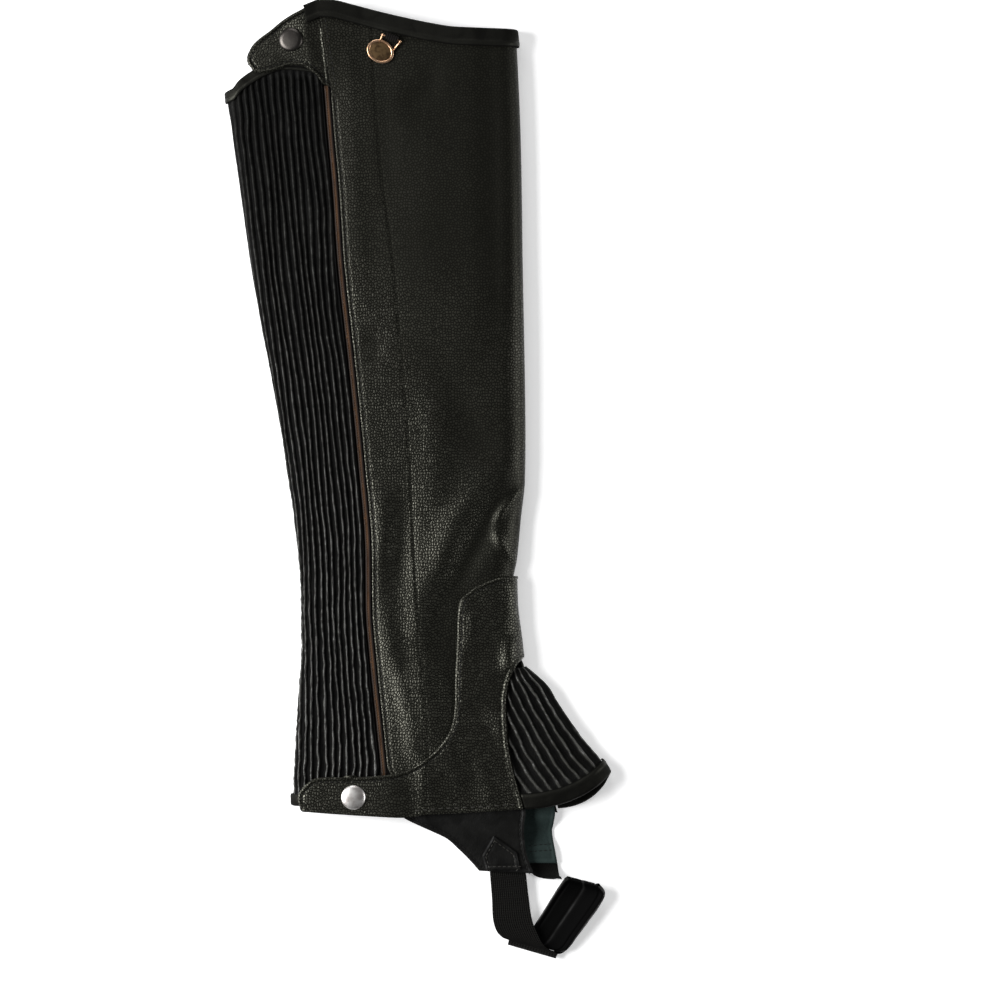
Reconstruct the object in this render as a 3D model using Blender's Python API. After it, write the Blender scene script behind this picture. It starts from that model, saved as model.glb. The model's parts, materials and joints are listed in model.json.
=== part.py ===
"""Half chap: a riding gaiter of pebbled leather, zipped beside the calf, lying flat, outer side up.

It is a flattened tube. +Y runs up to the knee, +X to the shin, and +Z is up from the surface that
it lies on. Sizes are in millimetres and become metres when a mesh is made. A plan position (x, y)
on side UPPER or LOWER names a point of the tube's outer face, and every layer that is sewn on is
made from those points, moved out or in along the face's normal.
"""

import bisect
import math
from collections import namedtuple

import bmesh
import bpy
from mathutils import Vector

MM = 0.001
UPPER = 1
LOWER = -1

# Driving dimensions
LEATHER = 1.4            # wall of the main panel
TRIM_LEATHER = 1.2       # foot panel, tab, drops and patch
GUSSET_WALL = 1.1        # gathered leather on its elastic backing
BINDING_WALL = 0.9
BINDING_GAP = 0.4        # between a binding and what it wraps
ELASTIC = 1.5            # woven strap
GAP = 0.3                # between pieces at a seam
BINDING_HEIGHT = 8.0     # top edge
HEM_HEIGHT = 7.0         # ankle gusset
GUSSET_BINDING_HEIGHT = 4.6
GUSSET_RIBS = 18         # pleats between zip and inner seam
ANKLE_RIBS = 9           # pleats on each side of the ankle gusset's fold
RIB_DEPTH = 0.5
SLOT = 2.2               # half the slot that shows the zip's coil
SLIDER_SLOT = 3.7        # half the slot round the slider, under the foot panel's tab
SNAP_RADIUS = 6.4
SNAP_HEIGHT = 1.9
FRONT_REACH = 17.0       # how far in from the shin fold the upper layer rounds over
BACK_REACH = 8.0         # the same at the back fold
UNDER_REACH = 6.0        # the same below, at both folds
CROWN = 1.6              # extra height in the middle of the upper layer
EDGE_LIFT = 1.5          # the lower layer rises by this where an edge is bound

# The flattened tube, a row for each section from knee to hem
Section = namedtuple("Section", "y back front rise_back rise_front")
SECTIONS = (
    Section(256, -104.0, 50.6, 10.5, 14.5),
    Section(236, -103.0, 51.6, 10.5, 15.0),
    Section(205, -100.6, 53.2, 10.5, 15.5),
    Section(178, -96.8, 54.2, 10.5, 15.5),
    Section(147, -92.3, 54.8, 10.5, 15.5),
    Section(115, -88.0, 55.2, 10.5, 15.5),
    Section(84, -82.6, 55.8, 10.5, 15.5),
    Section(52, -76.2, 56.4, 10.5, 15.0),
    Section(21, -70.8, 56.7, 10.5, 14.5),
    Section(0, -67.4, 56.4, 10.5, 14.5),
    Section(-21, -64.3, 54.2, 10.5, 14.0),
    Section(-42, -62.2, 52.2, 10.5, 13.5),
    Section(-52, -61.4, 50.4, 10.5, 13.0),
    Section(-63, -61.0, 50.6, 10.5, 13.0),
    Section(-84, -60.6, 53.0, 10.5, 12.5),
    Section(-94, -60.9, 54.4, 10.5, 12.0),
    Section(-101, -61.6, 61.6, 10.5, 12.0),
    Section(-108, -62.0, 68.8, 10.5, 12.0),
    Section(-116, -62.5, 73.6, 10.5, 12.0),
    Section(-126, -63.0, 80.2, 10.5, 12.0),
    Section(-136, -63.5, 87.4, 10.5, 12.0),
    Section(-146, -64.2, 96.0, 10.5, 12.0),
    Section(-153, -64.8, 100.9, 10.5, 12.0),
    Section(-170, -65.6, 108.0, 10.5, 12.0),
    Section(-180, -65.8, 112.0, 10.5, 12.0),
)

# Centre line of the zip
ZipPoint = namedtuple("ZipPoint", "y x")
ZIP = (
    ZipPoint(250, -52.5), ZipPoint(210, -48.0), ZipPoint(180, -45.6), ZipPoint(155, -43.3),
    ZipPoint(115, -40.6), ZipPoint(63, -35.0), ZipPoint(9, -29.7), ZipPoint(-39, -26.0),
    ZipPoint(-66, -25.8), ZipPoint(-97, -23.4), ZipPoint(-128, -20.2), ZipPoint(-152, -17.8),
    ZipPoint(-172, -16.0),
)

# Edge of the main panel above the zip, where the tab is sewn to it
TabSeam = namedtuple("TabSeam", "y x")
TAB_SEAM = (TabSeam(252, -52.5), TabSeam(228, -48.8), TabSeam(205, -45.2))

# Seams of the ankle gusset, on the outer side and on the inner side
AnkleSeam = namedtuple("AnkleSeam", "y outer inner")
ANKLE_SEAMS = (
    AnkleSeam(-94, 54.4, 54.4), AnkleSeam(-98, 51.6, 56.0), AnkleSeam(-108, 47.8, 58.4),
    AnkleSeam(-118, 46.8, 60.2), AnkleSeam(-139, 48.0, 64.0), AnkleSeam(-154, 50.8, 67.6),
    AnkleSeam(-166, 54.4, 71.0), AnkleSeam(-175, 57.0, 73.6),
)

# Top edge of the leather on the outer and the inner side, and the hem, by x
Edge = namedtuple("Edge", "x y")
TOP_OUTER = (
    Edge(-60, 247.0), Edge(-54, 250.4), Edge(-45, 250.2), Edge(-34, 247.7), Edge(-22, 244.5),
    Edge(-9, 241.4), Edge(6, 238.2), Edge(20, 236.1), Edge(52, 235.0),
)
TOP_INNER = (
    Edge(-104, 203.5), Edge(-90, 204.5), Edge(-80, 215.0), Edge(-66, 233.5), Edge(-56, 245.0),
    Edge(-45, 248.5), Edge(-34, 246.8), Edge(-22, 243.8), Edge(-9, 241.0), Edge(6, 238.0),
    Edge(20, 236.0), Edge(52, 235.0),
)
HEM = (
    Edge(-62, -173.0), Edge(-44, -174.3), Edge(-26, -175.4), Edge(-8, -176.2), Edge(6, -174.6),
    Edge(24, -173.8), Edge(43, -172.6), Edge(56.4, -171.8),
)
HEM_INNER = (Edge(-62, -171.0), Edge(20, -171.5), Edge(56, -172.5), Edge(73.6, -175.0))
ANKLE_HEM = (
    Edge(56.4, -171.6), Edge(72.5, -170.2), Edge(81.6, -167.0), Edge(91.0, -162.0),
    Edge(97.4, -156.6), Edge(100.2, -152.6),
)

# Soft folds of the upper layer round the ankle, each along a straight run
Crease = namedtuple("Crease", "x0 y0 x1 y1 height width")
CREASES = (
    Crease(56, -3, 24, -27, -2.2, 7.5),
    Crease(24, -27, 4, -62, -1.5, 9.0),
    Crease(52, -13, 38, -26, 1.1, 6.0),
    Crease(38, -34, 50, -42, 0.9, 6.0),
    Crease(-1, 8, 0, -44, 1.0, 8.0),
    Crease(-12, -4, -11, -48, -1.1, 8.0),
    Crease(10, -50, 16, -112, 1.0, 9.0),
)

# Rows of the main panel down the shin fold: above the ankle gusset by height, below it by share
FOLD_TOP = 235.0
APEX_Y = -94.0
PANEL_HEIGHTS = (
    FOLD_TOP, 225, 209, 194, 172, 144, 112, 80, 50, 24, 8, -5, -18, -31, -44, -57, -70, -82, APEX_Y,
)
BELOW_APEX = (0.06, 0.16, 0.36, 0.6, 0.82, 1.0)
LOWER_STEPS = (0, 0.14, 0.3, 0.46, 0.62, 0.77, 0.89, 0.953, 0.98, 0.993, 1)   # shares of its width
UPPER_COLUMNS = 13
INNER_SEAM_TOP = 9.0     # how far under the calf the gusset reaches, at the knee
INNER_SEAM_HEM = 17.0    # and at the hem

# Ends of the back gusset at shares of its girth from the inner seam to the zip
GussetEdge = namedtuple("GussetEdge", "share top hem")
GUSSET_EDGES = (
    GussetEdge(0.0, 202.5, -168.0), GussetEdge(0.16, 202.5, -168.6), GussetEdge(0.26, 204.0, -169.6),
    GussetEdge(0.33, 208.5, -169.8), GussetEdge(0.42, 212.5, -169.6), GussetEdge(0.55, 213.6, -169.2),
    GussetEdge(1.0, 212.0, -168.0),
)
GUSSET_ROWS = (0, 0.013, 0.04, 0.14, 0.25, 0.37, 0.49, 0.61, 0.73, 0.84, 0.93, 0.965, 0.986, 1)

# Zip
TAPE_TOP = 206.0
TAPE_END = -163.0
TAPE_HALF = 6.5
TAPE_WALL = 0.8
COIL_TOP = 204.0
COIL_END = -151.0
COIL_WALL = 0.9
COIL_SHAPE = ((-1.6, -0.5), (0.0, 0.6), (1.6, -0.5))   # across the coil, and out from the tube's face
SLIDER_Y = -159.0
SLIDER_SIZE = (5.4, 7.0, 2.0)

# Top tab, from its seam to its tip: its lower and its upper edge in plan
TAB_LOWER = (
    (-45.6, 206.0), (-49.4, 207.4), (-52.6, 211.6), (-59.0, 216.2), (-66.4, 217.1), (-73.2, 215.0),
    (-80.1, 213.2), (-85.2, 213.9), (-88.4, 217.4), (-89.4, 219.4),
)
TAB_UPPER = (
    Edge(-52.8, 250.2), Edge(-56.2, 249.2), Edge(-60.5, 246.6), Edge(-65.4, 244.1),
    Edge(-71.1, 240.5), Edge(-77.4, 235.4), Edge(-82.7, 231.5), Edge(-86.4, 227.9),
    Edge(-88.6, 223.9), Edge(-89.4, 221.6),
)
BOUND_TAB = (-59.5, -56.2)   # where the top binding's rows cross the tab's upper edge
TAB_RISE = 2.8
TAB_DROOP = 3.0
SNAP_TOP = (-66.2, 230.7)
SNAP_FOOT = (-33.6, -166.4)
SNAP_PROFILE = (
    (0.0, SNAP_HEIGHT), (2.6, SNAP_HEIGHT * 0.93), (4.6, SNAP_HEIGHT * 0.76), (5.8, SNAP_HEIGHT * 0.52),
    (SNAP_RADIUS, SNAP_HEIGHT * 0.26), (SNAP_RADIUS, 0.0), (0.0, 0.0),
)

# Foot panel: its left edge in plan, and the height of each row's end at the shin
FootRow = namedtuple("FootRow", "left_x left_y right_y")
FOOT_ROWS = (
    FootRow(28.1, -57.8, -50.2), FootRow(22.8, -62.5, -57.0), FootRow(21.3, -70.4, -68.0),
    FootRow(20.9, -82.0, -79.0), FootRow(20.4, -93.0, -88.0), FootRow(19.9, -101.0, APEX_Y),
    FootRow(19.7, -108.0, -98.67), FootRow(19.5, -119.2, -106.45), FootRow(17.6, -129.7, -116.0),
    FootRow(12.9, -138.1, -125.0), FootRow(6.6, -144.4, -134.0), FootRow(-1.6, -150.2, -141.5),
    FootRow(-9.7, -153.6, -148.0), FootRow(-17.6, -154.9, -151.5),
    FootRow(-32.3, -155.9, -154.5), FootRow(-49.6, -156.0, -158.5), FootRow(-55.1, -157.2, -161.5),
    FootRow(-59.1, -160.7, -164.5), FootRow(-62.0, -165.9, -167.5), FootRow(-61.4, -170.6, -170.2),
    FootRow(-58.5, -174.3, -172.6),
)
FOOT_COLUMNS = 9
FOOT_TAB_RISE = 1.45     # more room below its tab, which crosses the zip and the gusset's hem
FOOT_FOLD_RISE = 0.6     # and at the shin fold
FOOT_SEAM_BACK = 0.7     # back from the ankle gusset's seam
FOOT_TOP_BOW = 1.6
FOOT_OVERHANG = 0.9      # past the main panel's hem

# Ankle gusset
ANKLE_ROWS = (0.08, 0.18, 0.34, 0.52, 0.7, 0.84, 0.92, 1.0)
ANKLE_INNER_STEPS = (1.08, 1.15, 1.22, 1.32, 1.5, 1.75, 1.99)   # beyond the fold, where no pleats show
ANKLE_FOLD_END = -152.9
ANKLE_SEAM_END = -171.4
ANKLE_BOW = (2.9, -4.3)          # how the hem bows out between seam and fold
ANKLE_SEAM_RUN = (0.30, -0.95)   # which way is down along the seam
ANKLE_FOLD_RUN = (0.42, -0.90)   # and along the fold

# Drops below the hem: their left and right edges in plan
OUTER_DROP_LEFT = (
    (-7.6, -167.5), (-7.4, -174.0), (-5.2, -178.4), (1.3, -181.7), (8.1, -184.8), (15.5, -188.5),
    (21.3, -193.7), (26.5, -198.8), (32.4, -205.4),
)
OUTER_DROP_RIGHT = (
    (53.6, -163.5), (55.4, -169.6), (56.6, -174.0), (56.1, -179.5), (55.9, -184.5), (56.2, -190.0),
    (57.0, -195.5), (58.6, -200.8), (61.0, -206.8),
)
OUTER_DROP_END = 6.9
INNER_DROP_LEFT = (
    (8.0, -165.0), (11.0, -174.0), (17.0, -180.5), (24.0, -185.5), (31.0, -190.5), (38.0, -196.0),
    (45.0, -201.5),
)
INNER_DROP_RIGHT = (
    (69.4, -164.0), (72.2, -174.0), (71.6, -180.0), (70.7, -184.5), (71.4, -190.3), (72.6, -196.6),
    (73.2, -201.6),
)
PATCH_LEFT = ((39.8, -186.9), (37.2, -191.5), (33.9, -197.4), (35.0, -201.2), (36.0, -205.0))
PATCH_RIGHT = ((39.9, -186.9), (45.6, -191.0), (52.0, -195.8), (52.9, -200.2), (53.8, -204.8))

# Strap, a row for each section: its two edges, in plan and height
Band = namedtuple("Band", "left_x left_y left_z right_x right_y right_z")
OUTER_STRAP = (
    Band(37.6, -200.6, 5.2, 56.0, -200.6, 5.2), Band(37.9, -206.0, 5.1, 57.0, -207.6, 5.1),
    Band(39.0, -220.0, 5.1, 58.5, -220.5, 5.1), Band(39.6, -231.0, 5.3, 60.1, -231.0, 5.3),
    Band(41.4, -237.0, 5.3, 62.6, -238.2, 5.3), Band(44.4, -240.4, 5.2, 66.4, -245.0, 5.2),
)
BEND_LEFT = (47.3, -244.5)
BEND_RIGHT = (72.6, -251.8)
BEND_RADIUS = 2.5
BEND_STEPS = 6
STRAP_FLOOR = 0.05
PAD = (
    Band(55.6, -243.1, 2.7, 73.6, -248.2, 2.7), Band(57.8, -239.6, 2.7, 78.2, -247.4, 4.2),
    Band(61.7, -233.6, 2.7, 83.4, -240.2, 6.2), Band(66.6, -226.0, 2.8, 89.6, -231.6, 7.0),
    Band(71.6, -217.9, 3.2, 95.4, -223.4, 7.6), Band(76.0, -211.8, 6.0, 98.0, -217.6, 8.4),
    Band(78.4, -209.8, 9.0, 95.2, -213.6, 9.4),
)
PAD_WALL = 2.2
PAD_SAG = 1.6
INNER_STRAP = (
    Band(55.0, -195.5, 1.55, 72.4, -195.5, 1.55), Band(57.0, -202.4, 1.55, 73.6, -202.4, 1.55),
    Band(59.0, -205.6, 1.65, 74.0, -205.4, 2.6), Band(61.5, -208.3, 1.7, 74.4, -207.4, 5.2),
    Band(66.5, -209.8, 1.8, 74.6, -208.3, 8.0), Band(71.6, -210.2, 1.9, 74.7, -208.8, 10.0),
)

# Charm
CHARM_CENTRE = (-19.4, 224.4)
CHARM_LONG = 14.7
CHARM_SHORT = 12.0
CHARM_THICK = 1.3
CHARM_RIM = 0.12         # share of the half width
CHARM_TURN = math.radians(-28)
BAR_ENDS = ((-18.2, 233.0), (-8.9, 229.5))
PRONG_FEET = ((-19.9, 229.2), (-12.6, 224.9))
WIRE = 0.55
RIBBON_WALL = 0.6
RIBBON_HALF = 3.5        # between the bail's rounded corners
RIBBON_TAIL = 1.9


class Curve:
    """Cubic through one column of a table against another, with no overshoot between rows."""

    def __init__(self, table, key, column):
        """Sorts the rows by their key and works out a slope at each."""
        rows = sorted((getattr(row, key), getattr(row, column)) for row in table)
        self.keys = [row[0] for row in rows]
        self.values = [row[1] for row in rows]
        pairs = list(zip(rows, rows[1:]))
        steps = [(after[1] - before[1]) / (after[0] - before[0]) for before, after in pairs]
        inner = [
            0.0 if before * after <= 0 else 2 * before * after / (before + after)
            for before, after in zip(steps, steps[1:])
        ]
        self.slopes = [steps[0], *inner, steps[-1]]

    def __call__(self, at):
        """The curve's value; beyond its ends it keeps their values."""
        if at <= self.keys[0]:
            return self.values[0]
        if at >= self.keys[-1]:
            return self.values[-1]
        index = bisect.bisect_right(self.keys, at) - 1
        width = self.keys[index + 1] - self.keys[index]
        t = (at - self.keys[index]) / width
        return (
            (2 * t**3 - 3 * t**2 + 1) * self.values[index]
            + (t**3 - 2 * t**2 + t) * width * self.slopes[index]
            + (3 * t**2 - 2 * t**3) * self.values[index + 1]
            + (t**3 - t**2) * width * self.slopes[index + 1]
        )


BACK = Curve(SECTIONS, "y", "back")
FRONT = Curve(SECTIONS, "y", "front")
RISE_BACK = Curve(SECTIONS, "y", "rise_back")
RISE_FRONT = Curve(SECTIONS, "y", "rise_front")
ZIP_X = Curve(ZIP, "y", "x")
TAB_SEAM_X = Curve(TAB_SEAM, "y", "x")
ANKLE_SEAM_X = {UPPER: Curve(ANKLE_SEAMS, "y", "outer"), LOWER: Curve(ANKLE_SEAMS, "y", "inner")}
TOP_Y = {UPPER: Curve(TOP_OUTER, "x", "y"), LOWER: Curve(TOP_INNER, "x", "y")}
HEM_Y = {UPPER: Curve(HEM, "x", "y"), LOWER: Curve(HEM_INNER, "x", "y")}
ANKLE_HEM_Y = Curve(ANKLE_HEM, "x", "y")
TAB_UPPER_Y = Curve(TAB_UPPER, "x", "y")
GUSSET_TOP = Curve(GUSSET_EDGES, "share", "top")
GUSSET_HEM = Curve(GUSSET_EDGES, "share", "hem")


def smooth_step(value, start, end):
    """0 at start, 1 at end, with a soft rise between them."""
    t = min(max((value - start) / (end - start), 0.0), 1.0)
    return t * t * (3 - 2 * t)


def mix(first, second, share):
    """The value a share of the way from first to second."""
    return first + (second - first) * share


def fold_round(distance, reach):
    """Quarter ellipse: 0 at a fold, 1 from reach inwards."""
    t = min(max(distance / reach, 0.0), 1.0)
    return math.sqrt(max(1 - (1 - t) ** 2, 0.0))


def crease_height(x, y):
    """Height that the soft folds add at a plan position."""
    total = 0.0
    for crease in CREASES:
        run_x = crease.x1 - crease.x0
        run_y = crease.y1 - crease.y0
        along = ((x - crease.x0) * run_x + (y - crease.y0) * run_y) / (run_x**2 + run_y**2)
        along = min(max(along, 0.0), 1.0)
        distance = math.hypot(x - crease.x0 - run_x * along, y - crease.y0 - run_y * along)
        total += crease.height * math.exp(-((distance / crease.width) ** 2))
    return total


def edge_lift(x, y):
    """Rise of the lower layer near the edges that are bound, to leave room for the binding."""
    near_top = 1 - smooth_step(TOP_Y[LOWER](x) - y, 12, 26)
    near_hem = (1 - smooth_step(y, -158, -144)) * (1 - smooth_step(x, -46, -34))
    near_ankle = (1 - smooth_step(y - ANKLE_HEM_Y(x), 10, 22)) * smooth_step(x, 56, 66)
    return EDGE_LIFT * max(near_top, near_hem, near_ankle)


def tube_z(side, x, y):
    """Height of the tube's outer face at a plan position."""
    back = BACK(y)
    front = FRONT(y)
    share = min(max((x - back) / (front - back), 0.0), 1.0)
    rise = mix(RISE_BACK(y), RISE_FRONT(y), share)
    middle = 0.5 * rise
    if side == LOWER:
        flat = fold_round(x - back, UNDER_REACH) * fold_round(front - x, UNDER_REACH)
        return middle * (1 - flat) + edge_lift(x, y) * flat
    rounding = fold_round(x - back, BACK_REACH) * fold_round(front - x, FRONT_REACH)
    top = rise + CROWN * 4 * share * (1 - share) + crease_height(x, y)
    return middle + (top - middle) * rounding


def on_tube(side, x, y, out=0.0):
    """Point of the tube's outer face at a plan position, moved out along the normal."""
    spot = Vector((x, y, tube_z(side, x, y)))
    if out == 0.0:
        return spot
    step = 0.03
    low = max(x - step, BACK(y) + 0.001)
    high = min(x + step, FRONT(y) - 0.001)
    if high <= low:
        low, high = x - step, x + step
    slope_x = (tube_z(side, high, y) - tube_z(side, low, y)) / (high - low)
    slope_y = (tube_z(side, x, y + step) - tube_z(side, x, y - step)) / (2 * step)
    normal = Vector((-slope_x, -slope_y, 1.0)).normalized() * side
    return spot + normal * out


def curved_steps(count):
    """Shares from 0 to 1, close together near 1, where a fold turns over."""
    return [math.sin(math.pi / 2 * index / count) for index in range(count + 1)]


def even_steps(count):
    """Shares from 0 to 1."""
    return [index / count for index in range(count + 1)]


# Meshes


def material(name, colour, roughness, metallic=0.0):
    """A plain Principled material."""
    made = bpy.data.materials.new(name)
    made.use_nodes = True
    shader = made.node_tree.nodes["Principled BSDF"]
    shader.inputs["Base Color"].default_value = (*colour, 1.0)
    shader.inputs["Roughness"].default_value = roughness
    shader.inputs["Metallic"].default_value = metallic
    return made


def add_object(name, mesh_bm, finish):
    """Turns a bmesh in millimetres into an object in metres."""
    bmesh.ops.scale(mesh_bm, vec=(MM, MM, MM), verts=mesh_bm.verts)
    mesh = bpy.data.meshes.new(name)
    mesh_bm.to_mesh(mesh)
    mesh_bm.free()
    mesh.materials.append(finish)
    made = bpy.data.objects.new(name, mesh)
    bpy.context.scene.collection.objects.link(made)
    return made


def fill_grid(mesh_bm, rows):
    """Faces between rows of points that run towards the hem and, on the upper layer, towards +X."""
    made = [[mesh_bm.verts.new(point) for point in row] for row in rows]
    for upper, lower in zip(made, made[1:]):
        for column in range(len(upper) - 1):
            mesh_bm.faces.new((upper[column], lower[column], lower[column + 1], upper[column + 1]))


def add_sheet(name, grids, wall, finish, inwards=True):
    """A wall on one or more grids of points that share their common edges."""
    mesh_bm = bmesh.new()
    for rows in grids:
        fill_grid(mesh_bm, rows)
    bmesh.ops.remove_doubles(mesh_bm, verts=mesh_bm.verts, dist=0.001)
    made = add_object(name, mesh_bm, finish)
    shell = made.modifiers.new("wall", "SOLIDIFY")
    shell.thickness = wall * MM
    shell.offset = -1.0 if inwards else 1.0
    shell.use_even_offset = True
    return made


def ruled(left, right, columns, place):
    """Rows of points between two edges in plan, each lifted by place(x, y)."""
    return [
        [place(mix(start[0], end[0], share), mix(start[1], end[1], share)) for share in columns]
        for start, end in zip(left, right)
    ]


def wrap_edge(places, wall, height, outward):
    """Rows of a U-shaped binding over an edge; each place gives a point past it and out of the face."""
    inside = -(wall + BINDING_GAP)
    profile = (
        (-height, inside), (0.1, inside), (GAP + 0.3, -wall / 2), (0.1, BINDING_GAP),
        (-height, BINDING_GAP),
    )
    if outward < 0:
        profile = tuple(reversed(profile))
    return [[place(past, out) for place in places] for past, out in profile]


def edge_lean(side, x):
    """Sideways run per mm up of a line across the top binding: square to the edge in between, but
    along the shin fold at one end and along the tab's seam at the other.
    """
    square = TOP_Y[side](x - 0.5) - TOP_Y[side](x + 0.5)
    fold = (FRONT(FOLD_TOP) - FRONT(FOLD_TOP - BINDING_HEIGHT)) / BINDING_HEIGHT
    lean = mix(square, fold, smooth_step(x, FRONT(FOLD_TOP) - 12, FRONT(FOLD_TOP) - 1))
    if side == UPPER:
        seam_x = TAB_SEAM_X(250)
        lean = mix((seam_x - TAB_SEAM_X(240)) / 10, lean, smooth_step(x, seam_x, seam_x + 6))
    return lean


def edge_place(side, x):
    """A function that gives points near the tube's top edge: past it in plan, out from its face."""
    direction = Vector((edge_lean(side, x), 1.0)).normalized()
    start = Vector((x, TOP_Y[side](x)))

    def place(past, out):
        """Point past the edge in plan, and out from the face."""
        spot = start + direction * past
        return on_tube(side, spot.x, spot.y, out)

    return place


# Main panel


def inner_seam_x(y):
    """Seam between the back gusset and the main panel, under the back fold."""
    return BACK(y) + mix(INNER_SEAM_HEM, INNER_SEAM_TOP, smooth_step(y, -170, 205))


def slot_half(y):
    """Half the width of the slot that the zip shows in."""
    return mix(SLIDER_SLOT, SLOT, smooth_step(y, -156, -150))


def panel_left(side, y):
    """The main panel's edge away from the shin."""
    if side == LOWER:
        return inner_seam_x(min(y, 200.0)) + GAP / 2
    return mix(ZIP_X(y) + slot_half(y), TAB_SEAM_X(y), smooth_step(y, 196, 206))


def panel_right(side, y):
    """The shin fold, or below the apex the seam with the ankle gusset."""
    return FRONT(y) if y >= APEX_Y else ANKLE_SEAM_X[side](y)


def panel_half(side, steps):
    """Rows of one layer of the main panel, from its free edge to the shin."""
    hem_end = HEM_Y[side](100.0)
    heights = list(PANEL_HEIGHTS) + [mix(APEX_Y, hem_end, share) for share in BELOW_APEX]
    top_left = panel_left(side, 250.0)
    hem_left = panel_left(side, -172.0)
    rows = []
    for height in heights:
        down = (FOLD_TOP - height) / (FOLD_TOP - hem_end)
        row = []
        for share in steps:
            top_rise = TOP_Y[side](mix(top_left, FRONT(FOLD_TOP), share)) - FOLD_TOP
            hem_rise = HEM_Y[side](mix(hem_left, panel_right(side, hem_end), share)) - hem_end
            y = height
            if share < 1:
                y += (1 - down) ** 2 * top_rise + down * hem_rise
            row.append(on_tube(side, mix(panel_left(side, y), panel_right(side, height), share), y))
        rows.append(row)
    return rows


def make_main_panel(finish):
    """One cut of leather from the zip round the shin to the seam behind the calf."""
    upper = panel_half(UPPER, curved_steps(UPPER_COLUMNS))
    lower = [list(reversed(row)) for row in panel_half(LOWER, LOWER_STEPS)]
    for index in range(len(PANEL_HEIGHTS)):
        lower[index][0] = upper[index][-1]
    return add_sheet("main_panel", [upper, lower], LEATHER, finish)


def bound_tab_place(x):
    """The same on the tab's upper edge, where the binding runs on past the tab's seam."""
    direction = Vector((edge_lean(UPPER, x), 1.0)).normalized()
    start = Vector((x, TAB_UPPER_Y(x)))

    def place(past, out):
        """Point past the tab's edge in plan, and out from its face."""
        spot = start + direction * past
        return Vector((spot.x, spot.y, tab_z(spot.x, spot.y) + out))

    return place


def make_top_binding(finish):
    """Folded strip over the top edge, from the tab round the shin and down to the inner seam."""
    front = FRONT(FOLD_TOP)
    upper_left = panel_left(UPPER, 250.0)
    lower_left = panel_left(LOWER, 250.0)
    places = [bound_tab_place(x) for x in BOUND_TAB]
    places += [edge_place(UPPER, mix(upper_left, front, share)) for share in curved_steps(UPPER_COLUMNS)]
    places += [edge_place(LOWER, mix(lower_left, front, share)) for share in reversed(LOWER_STEPS[:-1])]
    rows = wrap_edge(places, LEATHER, BINDING_HEIGHT, outward=1)
    return add_sheet("top_binding", [rows], BINDING_WALL, finish, inwards=False)


# Back gusset


def girth_path(y):
    """Section of the back gusset at height y, from the inner seam round the back to the zip."""
    back = BACK(y)
    start = inner_seam_x(y) - GAP / 2
    end = ZIP_X(y) - slot_half(y)
    points = [on_tube(LOWER, mix(start, back, share), y) for share in curved_steps(10)]
    points += [on_tube(UPPER, mix(end, back, share), y) for share in reversed(curved_steps(20))]
    return points


def gusset_point(share, down, out=0.0):
    """Point of the back gusset: a share of its girth, down from its top edge, out from its face."""
    y = mix(GUSSET_TOP(share), GUSSET_HEM(share), down)
    points = girth_path(y)
    lengths = [0.0]
    for first, second in zip(points, points[1:]):
        lengths.append(lengths[-1] + (second - first).length)
    target = share * lengths[-1]
    index = min(max(bisect.bisect_right(lengths, target), 1), len(points) - 1)
    while lengths[index] - lengths[index - 1] < 1e-6:
        index += 1
    first, second = points[index - 1], points[index]
    along = (second - first).normalized()
    spot = first.lerp(second, (target - lengths[index - 1]) / (lengths[index] - lengths[index - 1]))
    return spot + Vector((-along.z, 0.0, along.x)) * out


def rib_out(share, down):
    """Outward bulge of the gusset's pleats, pressed flat at its edges and underneath."""
    ridge = -math.cos(2 * math.pi * GUSSET_RIBS * share)
    fade = smooth_step(share, 0.2, 0.32)
    fade *= smooth_step(down, 0.013, 0.035) * (1 - smooth_step(down, 0.965, 0.986))
    return RIB_DEPTH * (ridge + 0.3) * fade


def make_back_gusset(finish):
    """Pleated leather on elastic, between the zip and the inner seam."""
    columns = even_steps(GUSSET_RIBS * 2)
    rows = [
        [gusset_point(share, down, rib_out(share, down)) for share in columns] for down in GUSSET_ROWS
    ]
    return add_sheet("back_gusset", [rows], GUSSET_WALL, finish)


def make_gusset_binding(name, edge, first, last, finish):
    """Folded strip over one edge of the back gusset, 0 for the top and 1 for the hem."""
    columns = even_steps(GUSSET_RIBS * 2)
    shares = [
        share for index, share in enumerate(columns)
        if first <= share <= last and (index % 3 == 0 or 0.08 < share < 0.4)
    ]
    outward = 1 if edge == 0 else -1
    girth = GUSSET_TOP(0.5) - GUSSET_HEM(0.5)

    def placer(share):
        """Points near the edge at a share of the girth."""
        return lambda past, out: gusset_point(share, edge - outward * past / girth, out)

    rows = wrap_edge([placer(share) for share in shares], GUSSET_WALL, GUSSET_BINDING_HEIGHT, outward)
    return add_sheet(name, [rows], BINDING_WALL, finish, inwards=False)


# Zip


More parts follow.
